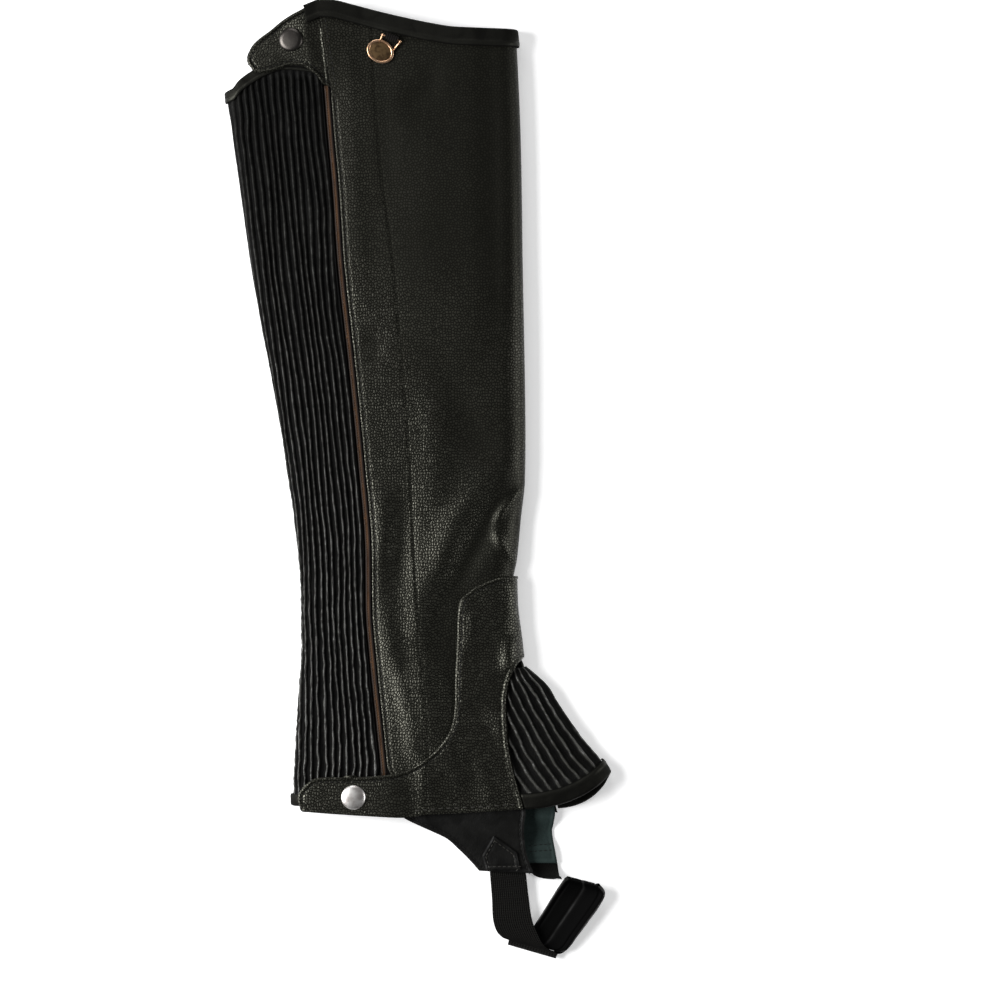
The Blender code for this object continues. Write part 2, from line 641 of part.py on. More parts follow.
def make_zip(tape_finish, metal_finish):
    """Tape behind the slot, the coil in the slot, and the slider under the foot panel's tab."""
    behind = -(LEATHER + 1.5 * GAP)
    tape = [
        [on_tube(UPPER, ZIP_X(y) + across, y, behind) for across in (-TAPE_HALF, 0.0, TAPE_HALF)]
        for y in [mix(TAPE_TOP, TAPE_END, share) for share in even_steps(16)]
    ]
    coil = [
        [on_tube(UPPER, ZIP_X(y) + across, y, out) for across, out in COIL_SHAPE]
        for y in [mix(COIL_TOP, COIL_END, share) for share in even_steps(20)]
    ]
    add_sheet("zip_tape", [tape], TAPE_WALL, tape_finish)
    add_sheet("zip_coil", [coil], COIL_WALL, tape_finish)

    mesh_bm = bmesh.new()
    bmesh.ops.create_cube(mesh_bm, size=1.0)
    bmesh.ops.scale(mesh_bm, vec=SLIDER_SIZE, verts=mesh_bm.verts)
    upright = [edge for edge in mesh_bm.edges if abs(edge.verts[0].co.z - edge.verts[1].co.z) > 1]
    bmesh.ops.bevel(mesh_bm, geom=upright, offset=1.4, segments=3, profile=0.5, affect="EDGES")
    slider = add_object("zip_slider", mesh_bm, metal_finish)
    slider.location = on_tube(UPPER, ZIP_X(SLIDER_Y), SLIDER_Y, -0.4) * MM
    return slider


# Top tab and the snaps


def tab_z(x, y):
    """Height of the top tab's upper face: flush at its seam, over the gusset's bound edge beyond."""
    from_seam = TAB_SEAM_X(y) - x
    droop = TAB_DROOP * smooth_step(y, 216, 236) * smooth_step(from_seam, 8, 26)
    return tube_z(UPPER, x, y) + TAB_RISE * smooth_step(from_seam, 0.3, 5.5) - droop


def make_top_tab(finish):
    """The tab, sewn to the main panel above the zip and snapped over the gusset."""
    shares = even_steps(6)
    outline = list(zip(TAB_LOWER, TAB_UPPER))
    grid = []
    for index, ((low_x, low_y), (high_x, high_y)) in enumerate(outline):
        points = []
        for share in shares:
            y = mix(low_y, high_y, share)
            x = TAB_SEAM_X(y) - GAP if index == 0 else mix(low_x, high_x, share)
            points.append(Vector((x, y, tab_z(x, y))))
        grid.append(points)
    rows = [[points[index] for points in reversed(grid)] for index in reversed(range(len(shares)))]
    return add_sheet("top_tab", [rows], TRIM_LEATHER, finish)


def make_cap(name, surface, x, y, finish):
    """Domed cap of a snap, lying on surface(x, y), a height in millimetres."""
    slope_x = (surface(x + SNAP_RADIUS, y) - surface(x - SNAP_RADIUS, y)) / (2 * SNAP_RADIUS)
    slope_y = (surface(x, y + SNAP_RADIUS) - surface(x, y - SNAP_RADIUS)) / (2 * SNAP_RADIUS)
    normal = Vector((-slope_x, -slope_y, 1.0)).normalized()
    clear = 0.0
    for step in range(12):
        angle = math.tau * step / 12
        offset = Vector((math.cos(angle), math.sin(angle))) * SNAP_RADIUS
        plane = surface(x, y) + slope_x * offset.x + slope_y * offset.y
        clear = max(clear, surface(x + offset.x, y + offset.y) - plane)
    mesh_bm = bmesh.new()
    verts = [mesh_bm.verts.new((radius, 0.0, height)) for radius, height in SNAP_PROFILE]
    edges = [mesh_bm.edges.new(pair) for pair in zip(verts, verts[1:])]
    bmesh.ops.spin(
        mesh_bm, geom=verts + edges, cent=(0, 0, 0), axis=(0, 0, 1), angle=math.tau, steps=24,
        use_merge=True, use_duplicate=False,
    )
    bmesh.ops.remove_doubles(mesh_bm, verts=mesh_bm.verts, dist=0.001)
    bmesh.ops.recalc_face_normals(mesh_bm, faces=mesh_bm.faces)
    made = add_object(name, mesh_bm, finish)
    made.location = (Vector((x, y, surface(x, y))) + normal * (GAP + clear)) * MM
    made.rotation_mode = "QUATERNION"
    made.rotation_quaternion = Vector((0, 0, 1)).rotation_difference(normal)
    return made


# Foot panel, a second layer over the main panel, with the lower tab


def foot_out(x, y):
    """Distance of the foot panel's outer face from the tube: more where its tab crosses the zip."""
    over = 1 - smooth_step(x, ZIP_X(y) - 1.0, ZIP_X(y) + 9.0)
    at_fold = smooth_step(x, FRONT(y) - 12.0, FRONT(y) - 3.0)
    return GAP + TRIM_LEATHER + FOOT_TAB_RISE * over + FOOT_FOLD_RISE * at_fold


def foot_point(x, y):
    """Point of the foot panel's outer face."""
    reach = max(x, BACK(y) + 6.0)
    lifted = on_tube(UPPER, reach, y, foot_out(x, y))
    return Vector((x + lifted.x - reach, lifted.y, lifted.z))


def make_foot_panel(finish):
    """Leather over the outer ankle, with the tab that snaps across the zip's lower end."""
    rows = []
    for index, foot in enumerate(FOOT_ROWS):
        right_x = panel_right(UPPER, foot.right_y) - (FOOT_SEAM_BACK if foot.right_y <= APEX_Y else 0.0)
        row = []
        for share in curved_steps(FOOT_COLUMNS):
            x = mix(foot.left_x, right_x, share)
            y = mix(foot.left_y, foot.right_y, share)
            if index == 0:
                y += FOOT_TOP_BOW * 4 * share * (1 - share)
            if index == len(FOOT_ROWS) - 1:
                y = HEM_Y[UPPER](x) - FOOT_OVERHANG
            row.append(foot_point(x, y))
        rows.append(row)
    return add_sheet("foot_panel", [rows], TRIM_LEATHER, finish)


# Ankle gusset, a fan of pleats folded at the shin


def ankle_point(across, down, out=0.0, past=0.0):
    """Point of the fan: across from 0 at the outer seam, 1 at its fold, to 2 at the inner seam."""
    side = UPPER if across <= 1 else LOWER
    share = across if side == UPPER else 2 - across
    fold_y = mix(APEX_Y, ANKLE_FOLD_END, down)
    seam_y = mix(APEX_Y, ANKLE_SEAM_END, down)
    seam = Vector((ANKLE_SEAM_X[side](seam_y) + GAP, seam_y))
    fold = Vector((FRONT(fold_y) - 0.02, fold_y))
    along = math.sin(math.pi / 2 * share)
    spot = seam.lerp(fold, along)
    spot += Vector(ANKLE_BOW) * (down**2 * 4 * along * (1 - along))
    spot += Vector(ANKLE_SEAM_RUN).lerp(Vector(ANKLE_FOLD_RUN), share) * past
    spot.x = min(spot.x, FRONT(spot.y) - 0.02)
    return on_tube(side, spot.x, spot.y, out)


def ankle_rib(across, down):
    """Outward bulge of the fan's pleats, pressed flat at its hem and underneath."""
    ridge = -math.cos(2 * math.pi * ANKLE_RIBS * across)
    fade = smooth_step(down, 0.08, 0.3) * (1 - smooth_step(down, 0.84, 0.9))
    return RIB_DEPTH * (ridge * fade * (1 - smooth_step(across, 1.0, 1.15)) - 1)


def make_ankle_gusset(finish):
    """Pleated leather fan that lets the ankle flex."""
    columns = (*even_steps(ANKLE_RIBS * 2), *ANKLE_INNER_STEPS)
    rows = [
        [ankle_point(across, down, ankle_rib(across, down)) for across in columns] for down in ANKLE_ROWS
    ]
    return add_sheet("ankle_gusset", [rows], GUSSET_WALL, finish)


def make_ankle_binding(finish):
    """Folded strip over the fan's hem."""

    def placer(across):
        """Points near the hem at one place across the fan."""
        return lambda past, out: ankle_point(across, 1.0, out - RIB_DEPTH, past)

    places = [placer(across) for across in (*even_steps(ANKLE_RIBS * 2), *ANKLE_INNER_STEPS)]
    rows = wrap_edge(places, GUSSET_WALL, HEM_HEIGHT, outward=-1)
    return add_sheet("ankle_binding", [rows], BINDING_WALL, finish, inwards=False)


# Drops below the hem, and the strap under the foot


def outer_drop_z(x, y):
    """Upper face of the outer drop: under the main panel's hem, then sloping down to the strap."""
    tucked = tube_z(UPPER, min(x, 60.0), max(y, -176.0)) - LEATHER - GAP - 0.1
    left_edge = smooth_step(x, 12, -30) if x < 12 else 0.0
    return mix(tucked, OUTER_DROP_END, smooth_step(-y, 172, 205)) - 0.9 * left_edge


def inner_drop_z(x, y):
    """Upper face of the inner drop: on the inner panel, then down, then over the strap's end."""
    on_panel = tube_z(LOWER, min(x, 72.0), max(y, -172.0)) + LEATHER + TRIM_LEATHER + 2 * GAP
    flat = mix(on_panel, TRIM_LEATHER + STRAP_FLOOR, smooth_step(-y, 176.5, 184))
    return mix(flat, ELASTIC + 1.5 * GAP + TRIM_LEATHER, smooth_step(-y, 187, 194))


def make_drops(finish, lining, patch_finish):
    """The two leather drops that carry the strap, and the patch over its outer end."""

    def outer(x, y):
        """Point on the outer drop."""
        return Vector((x, y, outer_drop_z(x, y)))

    def inner(x, y):
        """Point on the inner drop."""
        return Vector((x, y, inner_drop_z(x, y)))

    def patch(x, y):
        """Point on the patch."""
        return Vector((x, y, outer_drop_z(x, y) + GAP + TRIM_LEATHER))

    columns = even_steps(7)
    outer_rows = ruled(OUTER_DROP_LEFT, OUTER_DROP_RIGHT, columns, outer)
    inner_rows = ruled(INNER_DROP_LEFT, INNER_DROP_RIGHT, columns, inner)
    patch_rows = ruled(PATCH_LEFT, PATCH_RIGHT, even_steps(2), patch)
    add_sheet("outer_drop", [outer_rows], TRIM_LEATHER, finish)
    add_sheet("inner_drop", [inner_rows], TRIM_LEATHER, lining)
    add_sheet("strap_patch", [patch_rows], TRIM_LEATHER, patch_finish)


def band_rows(table, columns, sag=0.0):
    """Rows across a band; sag is how far its middle lies below its edges where it is tilted."""
    rows = []
    for band in table:
        left = Vector((band.left_x, band.left_y, band.left_z))
        right = Vector((band.right_x, band.right_y, band.right_z))
        hollow = sag * smooth_step(abs(right.z - left.z) + abs(left.z - 3.0), 0.3, 3.0)
        row = []
        for share in columns:
            point = left.lerp(right, share)
            point.z -= hollow * 4 * share * (1 - share)
            row.append(point)
        rows.append(row)
    return rows


def strap_bend():
    """The outer strap's turn round the bottom fold, a row for each step of half a circle."""
    left, right = Vector(BEND_LEFT), Vector(BEND_RIGHT)
    along = (right - left).normalized()
    back_off = Vector((-along.y, along.x))
    rows = []
    for step in range(BEND_STEPS + 1):
        angle = math.pi * step / BEND_STEPS
        shift = back_off * (BEND_RADIUS * (1 - math.sin(angle)))
        height = BEND_RADIUS * (1 + math.cos(angle)) + STRAP_FLOOR
        rows.append(Band(*(left + shift), height, *(right + shift), height))
    tail = back_off * (BEND_RADIUS + 0.8)
    rows.append(Band(*(left + tail), STRAP_FLOOR, *(right + tail), STRAP_FLOOR))
    return rows


def make_strap(elastic_finish, pad_finish):
    """Elastic down from the outer drop and under, its leather pad, and the elastic's inner end."""
    columns = even_steps(4)
    outer_rows = band_rows(list(OUTER_STRAP) + strap_bend(), columns)
    pad_rows = band_rows(list(reversed(PAD)), even_steps(5), sag=PAD_SAG)
    inner_rows = band_rows(INNER_STRAP, columns)
    add_sheet("strap_outer", [outer_rows], ELASTIC, elastic_finish)
    add_sheet("strap_pad", [pad_rows], PAD_WALL, pad_finish)
    add_sheet("strap_inner", [inner_rows], ELASTIC, elastic_finish)


# Charm on its ribbon, at the knee


def charm_height():
    """Height of the charm plate's middle, just clear of the leather."""
    across = Vector((math.cos(CHARM_TURN), math.sin(CHARM_TURN))) * (CHARM_LONG / 2)
    down = across.orthogonal().normalized() * (CHARM_SHORT / 2)
    centre = Vector(CHARM_CENTRE)
    corners = [centre, centre + across, centre - across, centre + down, centre - down]
    return max(tube_z(UPPER, *corner) for corner in corners) + GAP + CHARM_THICK / 2


def bar_height():
    """Height of the bail's bar, which the ribbon passes under and over."""
    middle = (Vector(BAR_ENDS[0]) + Vector(BAR_ENDS[1])) / 2
    return tube_z(UPPER, *middle) + GAP + RIBBON_WALL + GAP + WIRE


def wire_solid(name, route, radius):
    """A bent round wire as a mesh object that only serves to be joined to another."""
    shape = bpy.data.curves.new(name, "CURVE")
    shape.dimensions = "3D"
    shape.bevel_depth = radius * MM
    shape.bevel_resolution = 1
    shape.use_fill_caps = True
    spline = shape.splines.new("POLY")
    spline.points.add(len(route) - 1)
    for point, place in zip(spline.points, route):
        point.co = (*(place * MM), 1.0)
    curve = bpy.data.objects.new(name, shape)
    bpy.context.scene.collection.objects.link(curve)
    mesh = bpy.data.meshes.new_from_object(curve.evaluated_get(bpy.context.evaluated_depsgraph_get()))
    bpy.data.objects.remove(curve)
    made = bpy.data.objects.new(name, mesh)
    bpy.context.scene.collection.objects.link(made)
    made.hide_render = True
    made.display_type = "WIRE"
    return made


def rounded_route(corners, radius):
    """The corners' route with each inner corner cut short by radius."""
    route = [corners[0]]
    for before, corner, after in zip(corners, corners[1:], corners[2:]):
        to_before = (before - corner).normalized()
        to_after = (after - corner).normalized()
        route.append(corner + to_before * radius)
        route.append(corner + (to_before + to_after) * (radius * 0.27))
        route.append(corner + to_after * radius)
    return [*route, corners[-1]]


def make_charm(metal, ribbon):
    """Blank oval plate with a wire bail through a ribbon loop."""
    mesh_bm = bmesh.new()
    bmesh.ops.create_cone(
        mesh_bm, cap_ends=True, segments=32, radius1=1.0, radius2=1.0, depth=CHARM_THICK
    )
    bmesh.ops.scale(mesh_bm, vec=(CHARM_LONG / 2, CHARM_SHORT / 2, 1.0), verts=mesh_bm.verts)
    top = [face for face in mesh_bm.faces if face.normal.z > 0.9]
    bmesh.ops.inset_region(mesh_bm, faces=top, thickness=CHARM_RIM, depth=0.0)
    bmesh.ops.translate(mesh_bm, vec=(0, 0, -0.3), verts=top[0].verts)
    plate = add_object("charm", mesh_bm, metal)
    plate.location = Vector((*CHARM_CENTRE, charm_height())) * MM
    plate.rotation_euler = (0, 0, CHARM_TURN)

    ends = [Vector((*end, bar_height())) for end in BAR_ENDS]
    feet = [Vector((*foot, charm_height())) for foot in PRONG_FEET]
    join = plate.modifiers.new("bail", "BOOLEAN")
    join.operation = "UNION"
    join.object = wire_solid("bail", rounded_route([feet[0], *ends, feet[1]], 1.0), WIRE)

    along = (ends[1] - ends[0]).normalized()
    up_leg = Vector((-along.y, along.x, 0.0))
    middle = (ends[0] + ends[1]) / 2
    radius = WIRE + GAP
    loop = []
    for step in range(9):
        angle = math.radians(-90 - 22.5 * step)
        ring = up_leg * (math.cos(angle) * radius) + Vector((0, 0, math.sin(angle) * radius))
        loop.append([middle + along * (share * RIBBON_HALF) + ring for share in (-1, 1)])
    tail = up_leg * RIBBON_TAIL
    rows = [[point + tail for point in loop[-1]], *reversed(loop), [point + tail for point in loop[0]]]
    add_sheet("charm_loop", [rows], RIBBON_WALL, ribbon, inwards=False)
    return plate


def build():
    """Removes what the scene holds and builds every piece."""
    for old in list(bpy.data.objects):
        bpy.data.objects.remove(old, do_unlink=True)
    pebbled = material("black_pebbled_leather", (0.016, 0.017, 0.016), 0.5)
    smooth = material("black_smooth_leather", (0.012, 0.013, 0.013), 0.42)
    gathered = material("black_gathered_leather", (0.013, 0.013, 0.015), 0.5)
    lining = material("grey_green_split", (0.035, 0.06, 0.062), 0.85)
    woven = material("black_woven_elastic", (0.012, 0.013, 0.012), 0.8)
    coil = material("brown_zip_coil", (0.07, 0.032, 0.02), 0.5)
    steel = material("nickel_plated_steel", (0.42, 0.41, 0.42), 0.35, 1.0)
    copper = material("aged_copper", (0.42, 0.22, 0.12), 0.4, 1.0)

    make_main_panel(pebbled)
    make_back_gusset(gathered)
    make_top_binding(smooth)
    make_gusset_binding("gusset_top_binding", 0, 0.03, 0.86, smooth)
    make_gusset_binding("gusset_hem_binding", 1, 0.03, 0.92, smooth)
    make_zip(coil, steel)
    make_top_tab(pebbled)
    make_foot_panel(pebbled)
    make_ankle_gusset(gathered)
    make_ankle_binding(smooth)
    make_drops(smooth, lining, smooth)
    make_strap(woven, smooth)
    make_charm(copper, woven)
    make_cap("top_snap", tab_z, *SNAP_TOP, steel)
    make_cap("foot_snap", lambda x, y: foot_point(x, y).z, *SNAP_FOOT, steel)


build()
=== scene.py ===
"""Looks of a half chap: black pebbled leather, gathered gussets, a zip, snapped tabs and a foot strap.

It lies flat on a pale table, outer side up: +Y runs to the knee, +X to the shin and +Z up. Sizes in
this file are in millimetres, and become metres when a mesh is finished. A table of sections gives
the flattened tube of leather. A plan position on one side of the tube, and a distance out of its
face, place every panel, binding and stitch.
"""

import bisect
import itertools
import json
import logging
import math
from collections.abc import Callable, Sequence
from dataclasses import dataclass, field
from enum import Enum

import bmesh
import bpy
from mathutils import Matrix, Vector, noise

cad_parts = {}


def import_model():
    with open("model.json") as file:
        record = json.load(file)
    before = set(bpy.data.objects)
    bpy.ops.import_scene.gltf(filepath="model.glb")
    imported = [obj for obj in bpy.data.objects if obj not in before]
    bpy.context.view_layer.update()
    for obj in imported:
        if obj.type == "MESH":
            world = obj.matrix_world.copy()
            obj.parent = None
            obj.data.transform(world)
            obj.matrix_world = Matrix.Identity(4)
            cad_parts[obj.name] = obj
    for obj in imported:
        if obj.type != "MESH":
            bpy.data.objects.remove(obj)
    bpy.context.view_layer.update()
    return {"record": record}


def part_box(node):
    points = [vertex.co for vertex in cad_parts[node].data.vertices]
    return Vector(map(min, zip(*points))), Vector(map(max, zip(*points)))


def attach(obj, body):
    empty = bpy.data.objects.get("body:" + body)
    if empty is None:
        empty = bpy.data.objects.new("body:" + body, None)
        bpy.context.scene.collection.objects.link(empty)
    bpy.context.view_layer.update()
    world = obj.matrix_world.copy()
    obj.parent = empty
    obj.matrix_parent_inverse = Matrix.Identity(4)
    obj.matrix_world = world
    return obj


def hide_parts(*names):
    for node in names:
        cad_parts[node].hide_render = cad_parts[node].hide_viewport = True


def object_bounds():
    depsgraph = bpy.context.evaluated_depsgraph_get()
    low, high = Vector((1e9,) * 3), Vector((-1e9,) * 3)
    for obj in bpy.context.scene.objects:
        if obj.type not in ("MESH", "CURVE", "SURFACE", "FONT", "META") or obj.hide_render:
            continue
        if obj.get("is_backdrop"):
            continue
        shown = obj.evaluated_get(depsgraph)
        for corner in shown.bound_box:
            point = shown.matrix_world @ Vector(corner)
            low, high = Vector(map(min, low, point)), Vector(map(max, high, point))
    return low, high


log = logging.getLogger("half_chap")

MM = 0.001
# Walls of the cloths, and the gaps between layers
GAP = 0.3
LEATHER = 1.4
TRIM_LEATHER = 1.2
GUSSET_WALL = 1.1
BINDING_WALL = 0.9
BINDING_GAP = 0.4
ELASTIC = 1.5
# Points closer than this are one point
WELD = 0.002
# Only edges that turn more than this are eased, in degrees
EASED_TURN = 76
# A plan x past the shin, where the hem's table keeps its last value
PAST_SHIN = 100.0
# A plan y level with the panel's upper corner, at its tab
ABOVE_TOP = 250.0
# Distance of the topstitches from a turned edge
STITCHED_IN = 2.5
# Length of the back gusset along its pleats
PLEAT_RUN = 380

Place = Callable[[float, float], Vector]
Height = Callable[[float, float], float]
Spot = tuple[Vector, Vector]
Line = Sequence[Sequence[float]]
Points = tuple[tuple[float, float, float], ...]
Piece = bpy.types.Object
Mesh = bmesh.types.BMesh
Socket = bpy.types.NodeSocket


class Side(Enum):
    """The two layers of the flattened tube; the value is which way their faces look."""

    OUTER = 1
    INNER = -1


class Edge(Enum):
    """Which edge a binding wraps; the value is the way past it in plan."""

    TOP = 1
    HEM = -1


class Hold(Enum):
    """How a sheet of cloth is held."""

    LAID = "laid"
    FOLDED = "folded"
    GATHERED = "gathered"


class Body(Enum):
    """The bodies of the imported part."""

    MAIN = "main"
    CHARM = "charm"


class Slot(Enum):
    """The record's material slots."""

    PEBBLED = "pebbled_leather"
    GATHERED = "gathered_leather"
    SMOOTH = "smooth_leather"
    SPLIT = "grey_green_split"
    ELASTIC = "woven_elastic"
    ZIP = "zip_tape_and_coil"
    STEEL = "nickelled_steel"
    COPPER = "aged_copper"


def clamp(value: float, low: float = 0.0, high: float = 1.0) -> float:
    """The value, or the nearer end of its range where it lies outside."""
    return min(max(value, low), high)


def smooth_step(value: float, start: float, end: float) -> float:
    """Rises softly from 0 at start to 1 at end."""
    t = clamp((value - start) / (end - start))
    return t * t * (3 - 2 * t)


def mix(first: float, second: float, share: float) -> float:
    """The value a share of the way from first to second."""
    return first + (second - first) * share


def hump(value: float, centre: float, width: float) -> float:
    """A soft hump, 1 at its centre."""
    return math.exp(-(((value - centre) / width) ** 2))


def ramp(at: float, *stops: tuple[float, float]) -> float:
    """Straight lines through stops, each a place and the value there.

    Args:
        at: the place.
        stops: a place and a value each, in order.

    Returns:
        The value there.
    """
    index = min(sum(stop[0] <= at for stop in stops[1:]), len(stops) - 2)
    (start, low), (end, high) = stops[index:index + 2]
    return mix(low, high, (at - start) / (end - start))


def slowing(share: float) -> float:
    """A share of a cut, with its steps closer and closer together towards 1."""
    return math.sin(math.pi / 2 * share)


def crowd(share: float) -> float:
    """A share of a cut, with its steps closer together near both edges."""
    return mix(share, 0.5 - 0.5 * math.cos(math.pi * share), 0.8)


def fold_round(distance: float, reach: float) -> float:
    """Quarter ellipse: 0 at a fold, 1 from reach inwards."""
    return math.sqrt(max(1 - (1 - clamp(distance / reach)) ** 2, 0.0))


def uneven(x: float, y: float, seed: float = 0.0) -> float:
    """Smooth unevenness from -1 to 1, always the same at the same place."""
    return noise.noise(Vector((x, y, seed)))


def hermite(t: float, width: float, ends: Sequence, runs: Sequence) -> float | Vector:
    """Cubic between two ends, numbers or points, that leaves and meets them by their runs.

    Args:
        t: from 0 at the first end to 1 at the second.
        width: distance between the ends.
        ends: the two ends.
        runs: the slope or direction at each.

    Returns:
        The value or point.
    """
    return (
        ends[0] * (2 * t**3 - 3 * t**2 + 1) + runs[0] * (width * (t**3 - 2 * t**2 + t))
        + ends[1] * (3 * t**2 - 2 * t**3) + runs[1] * (width * (t**3 - t**2))
    )


class Curve:
    """Cubic through a table's points, with no overshoot between them."""

    def __init__(self, points: Line) -> None:
        """Sorts the points and works out a slope at each.

        Args:
            points: the table's rows.
        """
        rows = sorted(points)
        self.keys = [row[0] for row in rows]
        self.values = [row[1] for row in rows]
        steps = [(b[1] - a[1]) / (b[0] - a[0]) for a, b in zip(rows, rows[1:])]
        inner = [0.0 if a * b <= 0 else 2 * a * b / (a + b) for a, b in zip(steps, steps[1:])]
        self.slopes = [steps[0], *inner, steps[-1]]

    def __call__(self, at: float) -> float:
        """The curve's value; beyond its ends it keeps their values.

        Args:
            at: where on the table's first column.

        Returns:
            The value there.
        """
        if at <= self.keys[0]:
            return self.values[0]
        if at >= self.keys[-1]:
            return self.values[-1]
        index = bisect.bisect_right(self.keys, at) - 1
        width = self.keys[index + 1] - self.keys[index]
        both = slice(index, index + 2)
        return hermite((at - self.keys[index]) / width, width, self.values[both], self.slopes[both])


class Route:
    """Line through points in plan or in space, smooth or straight between them."""

    def __init__(self, points: Line, smooth: bool = True) -> None:
        """Keeps the points and, for a smooth line, a direction at each.

        Args:
            points: its points in order.
            smooth: whether it bends softly at them.
        """
        self.points = [Vector(point) for point in points]
        ends = [self.points[0], *self.points, self.points[-1]]
        self.smooth = smooth
        self.runs = []
        for before, point, after in zip(ends, ends[1:], ends[2:]):
            span = (point - before).length + (after - point).length
            self.runs.append((after - before) / span)

    def __call__(self, share: float) -> Vector:
        """The point at a share of the line, counted evenly from point to point.

        Args:
            share: from 0 at its start to 1 at its end.

        Returns:
            The point.
        """
        place = clamp(share) * (len(self.points) - 1)
        index = min(int(place), len(self.points) - 2)
        both = slice(index, index + 2)
        first, second = self.points[both]
        if not self.smooth:
            return first.lerp(second, place - index)
        return hermite(place - index, (second - first).length, (first, second), self.runs[both])

    def steps(self, count: int) -> list[Vector]:
        """Points at even shares of the line."""
        return [self(step / count) for step in range(count + 1)]


def route(*points: tuple[float, float], smooth: bool = True) -> Route:
    """A dataclass field that holds a route."""
    return field(default_factory=lambda: Route(points, smooth))


def curve(*points: tuple[float, float]) -> Curve:
    """A dataclass field that holds a curve."""
    return field(default_factory=lambda: Curve(points))


def run_lengths(points: Sequence[Vector]) -> list[float]:
    """Length of a line of points up to each of them."""
    return [0.0, *itertools.accumulate((b - a).length for a, b in zip(points, points[1:]))]


def at_length(lengths: Sequence[float], target: float) -> tuple[int, float]:
    """The step that a length falls in, and the share of that step."""
    index = clamp(bisect.bisect_right(lengths, target), 1, len(lengths) - 1)
    return index - 1, (target - lengths[index - 1]) / (lengths[index] - lengths[index - 1])


def nearest(x: float, y: float, line: Line) -> tuple[float, float]:
    """Squared distance in plan to a line, and where that is, counted from point to point.

    Args:
        x: plan x.
        y: plan y.
        line: the line's points in plan.

    Returns:
        The squared distance, and the place along the line.
    """
    best, place = math.inf, 0.0
    for index, ((x0, y0), (x1, y1)) in enumerate(zip(line, line[1:])):
        run_x, run_y = x1 - x0, y1 - y0
        length = run_x * run_x + run_y * run_y
        along = clamp(((x - x0) * run_x + (y - y0) * run_y) / length) if length else 0.0
        away = (x - x0 - run_x * along) ** 2 + (y - y0 - run_y * along) ** 2
        if away < best:
            best, place = away, index + along
    return best, place


def line_distance(x: float, y: float, line: Line) -> float:
    """Distance in plan from a position to a line."""
    return math.sqrt(nearest(x, y, line)[0])


def face_normal(height: Height, x: float, y: float, step: float) -> Vector:
    """Unit normal of a face given by its height, from its slopes over a step each way.

    Args:
        height: gives the face's height.
        x: plan x.
        y: plan y.
        step: how far each way.

    Returns:
        The normal.
    """
    slope_x = (height(x + step, y) - height(x - step, y)) / (2 * step)
    slope_y = (height(x, y + step) - height(x, y - step)) / (2 * step)
    return Vector((-slope_x, -slope_y, 1.0)).normalized()


def inset(line: Sequence[Vector], distance: float) -> list[Vector]:
    """The line moved to its left in plan by a distance.

    Args:
        line: the line's points in plan.
        distance: how far it moves.

    Returns:
        The moved points.
    """
    moved = []
    for index, point in enumerate(line):
        run = line[min(index + 1, len(line) - 1)] - line[max(index - 1, 0)]
        run = Vector((run.x, run.y)).normalized()
        moved.append(Vector((point.x - run.y * distance, point.y + run.x * distance)))
    return moved


def turned_edge(distance: float, height: float = 0.42) -> float:
    """Rise of leather turned in along its edge: a rounded rim, then the groove of its stitches."""
    rim = height * hump(distance, 1.0, 0.7) - 1.3 * height * (1 - fold_round(distance + 0.15, 1.25))
    return rim - 0.8 * height * hump(distance, 2.3, 0.6)


@dataclass
class Fold:
    """A soft trough (negative) or ridge (positive) along a line in plan.

    Its start and its end may be fainter than its middle: 0 fades it out there and 1 keeps it. The
    fading takes up the share faint of its length.
    """

    height: float
    width: float
    line: tuple[tuple[float, float], ...]
    start: float = 0.0
    end: float = 0.0
    faint: float = 0.35

    def __post_init__(self) -> None:
        """Works out the box that the fold reaches."""
        reach = 2.8 * self.width
        self.low = [min(point[axis] for point in self.line) - reach for axis in (0, 1)]
        self.high = [max(point[axis] for point in self.line) + reach for axis in (0, 1)]

    def rise(self, x: float, y: float) -> float:
        """Height that the fold adds at a plan position.

        Args:
            x: plan x.
            y: plan y.

        Returns:
            The height, negative in a trough.
        """
        if not (self.low[0] < x < self.high[0] and self.low[1] < y < self.high[1]):
            return 0.0
        away, place = nearest(x, y, self.line)
        share = place / (len(self.line) - 1)
        fade = mix(self.start, 1.0, smooth_step(share, 0.0, self.faint))
        fade *= mix(self.end, 1.0, smooth_step(1 - share, 0.0, self.faint))
        return self.height * fade * math.exp(-away / self.width**2)


# Plan of the flattened tube: each section's y, and its x at the back fold and at the shin
SECTIONS = (
    (256, -104, 50.6), (236, -103, 51.6), (205, -100.6, 53.2), (178, -96.8, 54.2),
    (147, -92.3, 54.8), (115, -88, 55.2), (84, -82.6, 55.8), (52, -76.2, 56.4), (21, -70.8, 56.7),
    (0, -67.4, 56.4), (-21, -64.3, 54.2), (-42, -62.2, 52.2), (-52, -61.4, 50.4), (-63, -61, 50.6),
    (-84, -60.6, 53), (-94, -60.9, 54.4), (-101, -61.6, 61.6), (-108, -62, 68.8),
    (-116, -62.5, 73.6), (-126, -63, 80.2), (-136, -63.5, 87.4), (-146, -64.2, 96),
    (-153, -64.8, 100.9), (-170, -65.6, 108), (-180, -65.8, 112),
)
BACK = Curve([(y, back) for y, back, _ in SECTIONS])
FRONT = Curve([(y, front) for y, _, front in SECTIONS])
RISE_FRONT = Curve((
    (256, 14.5), (236, 15), (205, 15.5), (84, 15.5), (52, 15), (21, 14.5), (0, 14.5),
    (-21, 14), (-42, 13.5), (-52, 13), (-63, 13), (-84, 12.5), (-94, 12), (-180, 12),
))
